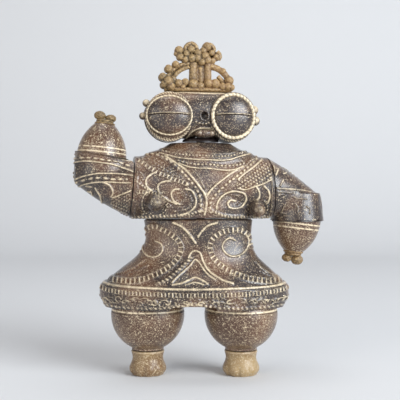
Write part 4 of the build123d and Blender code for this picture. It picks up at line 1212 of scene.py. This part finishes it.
def bead(x, y, z, r, high):
    """A ball with a painted highlight on its front and top, so that they are lighter than its sides."""
    grid = pearl((0, 0, 0), (1, 1, 1), 18, 11)
    # painted highlight: lighter towards the front and the top
    raised = high * np.clip(0.25 - 0.75 * grid[..., 1] + 0.3 * grid[..., 2], 0, 1)
    return surface(np.array([x, y, z]) + grid * r, raised)


def face_parts():
    """The rim of the nose's hole, a bar bent to an ellipse, and the mouth: a lip with three lobes."""
    t = np.linspace(0, 2 * math.pi, 41)
    wide, tall, thick = NOSE_RIM
    rim = np.stack([NOSE[0] + wide * np.cos(t), NOSE_RIM_Y + 0 * t, NOSE[1] + tall * np.sin(t)], axis=1)
    lip = pearl(LIP, LIP_RADII, 32, 17)
    lobes = [bead(x, LIP_LOBE_Y, LIP_LOBE_Z, LIP_LOBE_R, 0.7) for x in LIP_LOBES_X]
    return [surface(tube(rim, thick, 10), 0.25), surface(lip, 0.1), *lobes]


def build_hands(tools):
    """Each hand: two rings round the wrist and two lobes that run into one another."""
    for side in SIDES:
        place = Place(CUFF[side].origin, unit(np.cross(BACK, -hand_direction(side))), BACK)
        parts = [surface(lathe(WRIST, 40), 0.2)]
        for x, z, wide, tall in LOBES[side]:
            parts.append(surface(pearl((x, 0, z), (wide, HAND_DEPTH, tall), 32, 17), 0.2))
        hand, colour = moved(melted(parts, HAND_CELL, HAND_GAIN), place), palette(tools)["tan"]
        put(f"hand_shell_{side}", hand, f"forearm_{side}", colour, [f"hand_{side}"])


def hand_direction(side):
    """The way a forearm points, from its elbow to the middle of its hand."""
    low, high = box(f"hand_{side}")
    way = (low + high) / 2 - CUFF[side].origin
    return unit(way - BACK * (way @ BACK))


def build_crown(tools):
    """The openwork crown, melted from lumps and bars: a lumpy base, two arches that spring to a column of
    three shafts, and on top a clump with curled flowers. Lumps stand in pairs, one before the other."""
    base = box("crown")[0][2]
    parts = []
    for x, z, r in CROWN_LUMPS:
        deep = BASE_REACH if z < FIRST_ARCH_Z else TOP_REACH
        parts += [surface(pearl((x, y, z), (r, r, r), 24, 13), 0) for y in (-deep, deep)]
    for keys, r in CROWN_BARS:
        line = curve(keys)
        y = np.full(len(line), THIN_Y if r == THIN_BAR else ARCH_Y if len(keys) > 3 else 0.0)
        parts.append(surface(tube(np.stack([line[:, 0], y, line[:, 1]], axis=1), r, 16), 0))
    slab = pearl((SLAB_X, 0, base + SLAB_HALF[2]), SLAB_HALF, 64, 17)
    slab[..., 0] = SLAB_X + np.clip((slab[..., 0] - SLAB_X) * SLAB_STRETCH, -SLAB_END, SLAB_END)
    parts.append(surface(slab, 0))
    for x, z, wide, tall in CROWN_FILLS:
        parts.append(surface(pearl((x, FILL_Y, z), (wide, FILL_DEPTH, tall), 40, 17), 0))
    crown = moved(melted(parts, CROWN_CELL, CROWN_GAIN), UPPER)
    put("crown_shell", crown, "head", palette(tools)["tan"], ["crown"])


def toes(height, angle):
    """Grooves between the toes: sharpened waves round the front of the foot that fade upwards."""
    front = np.clip((-np.sin(angle) - 0.25) / 0.5, 0, 1)
    waves = (np.cos(TOES_ROUND * angle + math.pi) * 0.5 + 0.5) ** 3
    return -TOE_DEPTH * front * waves * np.clip((TOE_TOP - height) / TOE_FADE, 0, 1)


def build_feet(tools):
    """Each foot: a turned shape with toe grooves and two rings."""
    for side in SIDES:
        low, high = box(f"foot_{side}")
        middle = (low + high) / 2
        r, top = (high[0] - low[0]) / 2, high[2]
        z, less = np.array([*FOOT, (top, FOOT_TOP_INSET)]).T
        fine = np.concatenate([[0, 0], np.linspace(0.25, top - 0.05, FOOT_ROWS), [top]])
        wide = np.concatenate([[0], [r - SOLE_INSET], np.interp(fine[2:-1], z, r - less), [0]])
        grid = lathe(np.stack([wide, fine], axis=1), FOOT_AROUND, wobble=toes)
        rings = sum(high * dome((fine - at) / half_ring) for at, half_ring, high in FOOT_RINGS)
        rubbed = TOE_LIGHT * (fine < TOE_LIGHT_TOP)
        raised = np.clip(rings + rubbed, 0, 1)[:, None] + 0 * grid[..., 0]
        grid[..., :2] *= (1 + RING_SWELL * np.clip(rings, 0, 1))[:, None, None]
        grid[..., :2] += middle[:2]
        foot, part, colour = f"foot_{side}", surface(grid, raised), palette(tools)["foot"]
        put(f"foot_shell_{side}", part, foot, colour, [foot])


def build_neck(tools):
    """The low turned plug that closes the view between collar and chin, dark as the neck and as painted
    shade under the chin.
    """
    grid = lathe([(r, COLLAR_TOP + z) for r, z in PLUG], 64) * [1, PLUG_DEPTH, 1]
    put("neck_plug", moved(surface(grid), UPPER), "neck", palette(tools)["joint"])


def paint_kept(tools):
    """Paint for the CAD pieces that show as they are: legs, forearms and the joints' own parts."""
    colours = palette(tools)
    replaced = {f"{piece}_{way}" for piece in ("skirt", "chest", "head") for way in ("front", "back")}
    for side in SIDES:
        replaced |= {f"{piece}_{side}" for piece in ("sleeve_front", "sleeve_back", "hand", "foot")}
    for name, thing in frame["nodes"].items():
        if name == "crown" or name in replaced:
            continue
        limb = name.startswith(("leg_", "forearm_"))
        for slot in thing.material_slots:
            slot.material = colours[name if limb else "joint"]


# ---- stage ----------------------------------------------------------------------------------------

AIM = (0, 0, 0.07)
EYE_HEIGHT, EYE_DISTANCE, EYE_X, LENS, SENSOR = 0.068, 0.3, -0.0002, 69.0, 36.0
FLOOR_GREY = 0.72
FLOOR_HALF_X, FLOOR_NEAR, WALL_TOP = 1.6, 1.5, 1.4  # the floor starts this far in front of its bend
BEND_Y, BEND_R = 0.6, 0.3


def build_lamp(name, place, size, power, colour):
    """A square lamp that faces the figure."""
    light = bpy.data.lights.new(name, "AREA")
    light.size = size
    light.energy = power
    light.color = colour
    made = bpy.data.objects.new(name, light)
    bpy.context.collection.objects.link(made)
    made.location = place
    made.rotation_euler = (Vector(AIM) - Vector(place)).to_track_quat("-Z", "Y").to_euler()


def build_floor():
    """A sheet over the floor's width along a line: level, then a quarter turn upwards, then straight up."""
    t = np.linspace(-1, 1, 40)
    turn = np.maximum(t, 0) * math.pi / 2
    y = BEND_Y + FLOOR_NEAR * np.minimum(t, 0) + BEND_R * np.sin(turn)
    z = BEND_R - BEND_R * np.cos(turn)
    line = np.concatenate([np.stack([y, z], axis=1), [[y[-1], WALL_TOP]]])
    x = np.broadcast_to([-FLOOR_HALF_X, FLOOR_HALF_X], (len(line), 2))
    grid = np.stack([x, np.repeat(line[:, :1], 2, 1), np.repeat(line[:, 1:], 2, 1)], axis=-1)
    mesh = bpy.data.meshes.new("floor")
    mesh.from_pydata(grid.reshape(-1, 3).tolist(), [], grid_tris(len(line), 2)[:, ::-1].tolist())
    mesh.polygons.foreach_set("use_smooth", np.ones(len(mesh.polygons), bool))
    paper = bpy.data.materials.new("floor_paint")
    paper.use_nodes = True
    shader = paper.node_tree.nodes["Principled BSDF"]
    shader.inputs["Base Color"].default_value = (FLOOR_GREY, FLOOR_GREY, FLOOR_GREY, 1)
    shader.inputs["Roughness"].default_value = 0.9
    mesh.materials.append(paper)
    floor = bpy.data.objects.new("floor", mesh)
    bpy.context.collection.objects.link(floor)


def build_stage():
    """A pale floor that rises behind the figure, soft lights and the camera."""
    build_floor()
    world = bpy.data.worlds.new("surroundings")
    bpy.context.scene.world = world
    world.use_nodes = True
    sky = world.node_tree.nodes["Background"]
    sky.inputs["Color"].default_value = (0.86, 0.9, 1.0, 1)
    sky.inputs["Strength"].default_value = 0.3
    build_lamp("key", (0.85, -0.75, 0.5), 0.8, 21, (0.9, 0.95, 1.0))
    build_lamp("fill", (-0.7, -0.9, 0.3), 0.9, 6, (1.0, 0.95, 0.88))
    build_lamp("top", (-0.05, 0.05, 1.2), 0.6, 3, (1, 1, 1))
    camera = bpy.data.objects.new("camera", bpy.data.cameras.new("camera"))
    bpy.context.collection.objects.link(camera)
    bpy.context.scene.camera = camera
    camera.data.lens = LENS
    camera.data.sensor_width = SENSOR
    camera.data.clip_start = 0.01
    camera.data.clip_end = 10
    camera.location = (EYE_X, -EYE_DISTANCE, EYE_HEIGHT)
    camera.rotation_euler = (math.radians(90), 0, 0)
    bpy.context.scene.view_settings.view_transform = "Standard"


# ---- the add-on -----------------------------------------------------------------------------------


class FigurineTools(bpy.types.PropertyGroup):
    """Sizes and colours of the figurine's surfaces"""

    relief: FloatProperty(
        name="Relief height", description="How far cords and beads stand up",
        default=0.00045, min=0, max=0.0008, unit="LENGTH", precision=5,
    )
    gloss: FloatProperty(
        name="Roughness", description="Roughness of the paint, before its grain",
        default=0.28, min=0, max=1, subtype="FACTOR",
    )
    dark: FloatVectorProperty(
        name="Ground", description="Dark ground colour",
        default=(0.022, 0.012, 0.011), min=0, max=1, subtype="COLOR",
    )
    warm: FloatVectorProperty(
        name="Warm ground", description="Colour of the clouds on the ground",
        default=(0.12, 0.047, 0.019), min=0, max=1, subtype="COLOR",
    )
    worn: FloatVectorProperty(
        name="Dry-brush", description="Colour rubbed over the raised lines",
        default=(0.62, 0.51, 0.34), min=0, max=1, subtype="COLOR",
    )
    tan: FloatVectorProperty(
        name="Tan", description="Colour of crown and hands",
        default=(0.44, 0.295, 0.13), min=0, max=1, subtype="COLOR",
    )


class FIGURINE_OT_skirt(bpy.types.Operator):
    """Builds the skirt's two shells"""

    bl_idname = "figurine.skirt"
    bl_label = "Skirt"

    def execute(self, context):
        build_skirt(context.scene.figurine)
        return {"FINISHED"}


class FIGURINE_OT_chest(bpy.types.Operator):
    """Builds the chest's two shells"""

    bl_idname = "figurine.chest"
    bl_label = "Chest"

    def execute(self, context):
        build_chest(context.scene.figurine)
        return {"FINISHED"}


class FIGURINE_OT_sleeves(bpy.types.Operator):
    """Builds both sleeves with their cuffs"""

    bl_idname = "figurine.sleeves"
    bl_label = "Sleeves"

    def execute(self, context):
        build_sleeves(context.scene.figurine)
        return {"FINISHED"}


class FIGURINE_OT_head(bpy.types.Operator):
    """Builds the head with its goggles and face"""

    bl_idname = "figurine.head"
    bl_label = "Head"

    def execute(self, context):
        build_head(context.scene.figurine)
        return {"FINISHED"}


class FIGURINE_OT_hands(bpy.types.Operator):
    """Builds both two-lobed hands"""

    bl_idname = "figurine.hands"
    bl_label = "Hands"

    def execute(self, context):
        build_hands(context.scene.figurine)
        return {"FINISHED"}


class FIGURINE_OT_crown(bpy.types.Operator):
    """Builds the openwork crown"""

    bl_idname = "figurine.crown"
    bl_label = "Crown"

    def execute(self, context):
        build_crown(context.scene.figurine)
        return {"FINISHED"}


class FIGURINE_OT_neck(bpy.types.Operator):
    """Builds the plug under the chin"""

    bl_idname = "figurine.neck"
    bl_label = "Neck"

    def execute(self, context):
        build_neck(context.scene.figurine)
        return {"FINISHED"}


class FIGURINE_OT_feet(bpy.types.Operator):
    """Builds both feet with their toes"""

    bl_idname = "figurine.feet"
    bl_label = "Feet"

    def execute(self, context):
        build_feet(context.scene.figurine)
        return {"FINISHED"}


class FIGURINE_OT_kept(bpy.types.Operator):
    """Paints the CAD pieces that show as they are"""

    bl_idname = "figurine.kept"
    bl_label = "Kept CAD pieces"

    def execute(self, context):
        paint_kept(context.scene.figurine)
        return {"FINISHED"}


class FIGURINE_OT_stage(bpy.types.Operator):
    """Builds the floor, the lights and the camera"""

    bl_idname = "figurine.stage"
    bl_label = "Stage"

    def execute(self, context):
        build_stage()
        return {"FINISHED"}


OPERATORS = (
    FIGURINE_OT_skirt,
    FIGURINE_OT_chest,
    FIGURINE_OT_sleeves,
    FIGURINE_OT_head,
    FIGURINE_OT_hands,
    FIGURINE_OT_crown,
    FIGURINE_OT_neck,
    FIGURINE_OT_feet,
    FIGURINE_OT_kept,
    FIGURINE_OT_stage,
)


class FIGURINE_PT_panel(bpy.types.Panel):
    """The figurine's sizes and colours, and a button for each group in building order"""

    bl_label = "Figurine"
    bl_idname = "FIGURINE_PT_panel"
    bl_space_type = "VIEW_3D"
    bl_region_type = "UI"
    bl_category = "Figurine"

    def draw(self, context):
        for name in ("relief", "gloss", "dark", "warm", "worn", "tan"):
            self.layout.prop(context.scene.figurine, name)
        for kind in OPERATORS:
            self.layout.operator(kind.bl_idname)


CLASSES = (FigurineTools, *OPERATORS, FIGURINE_PT_panel)


def register():
    for kind in CLASSES:
        bpy.utils.register_class(kind)
    bpy.types.Scene.figurine = PointerProperty(type=FigurineTools)


def unregister():
    del bpy.types.Scene.figurine
    for kind in reversed(CLASSES):
        bpy.utils.unregister_class(kind)


def main():
    """Builds everything in order."""
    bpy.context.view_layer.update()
    register()
    bpy.ops.figurine.skirt()
    bpy.ops.figurine.chest()
    bpy.ops.figurine.sleeves()
    bpy.ops.figurine.head()
    bpy.ops.figurine.hands()
    bpy.ops.figurine.crown()
    bpy.ops.figurine.neck()
    bpy.ops.figurine.feet()
    bpy.ops.figurine.kept()
    bpy.ops.figurine.stage()


if __name__ == "__main__":
    main()
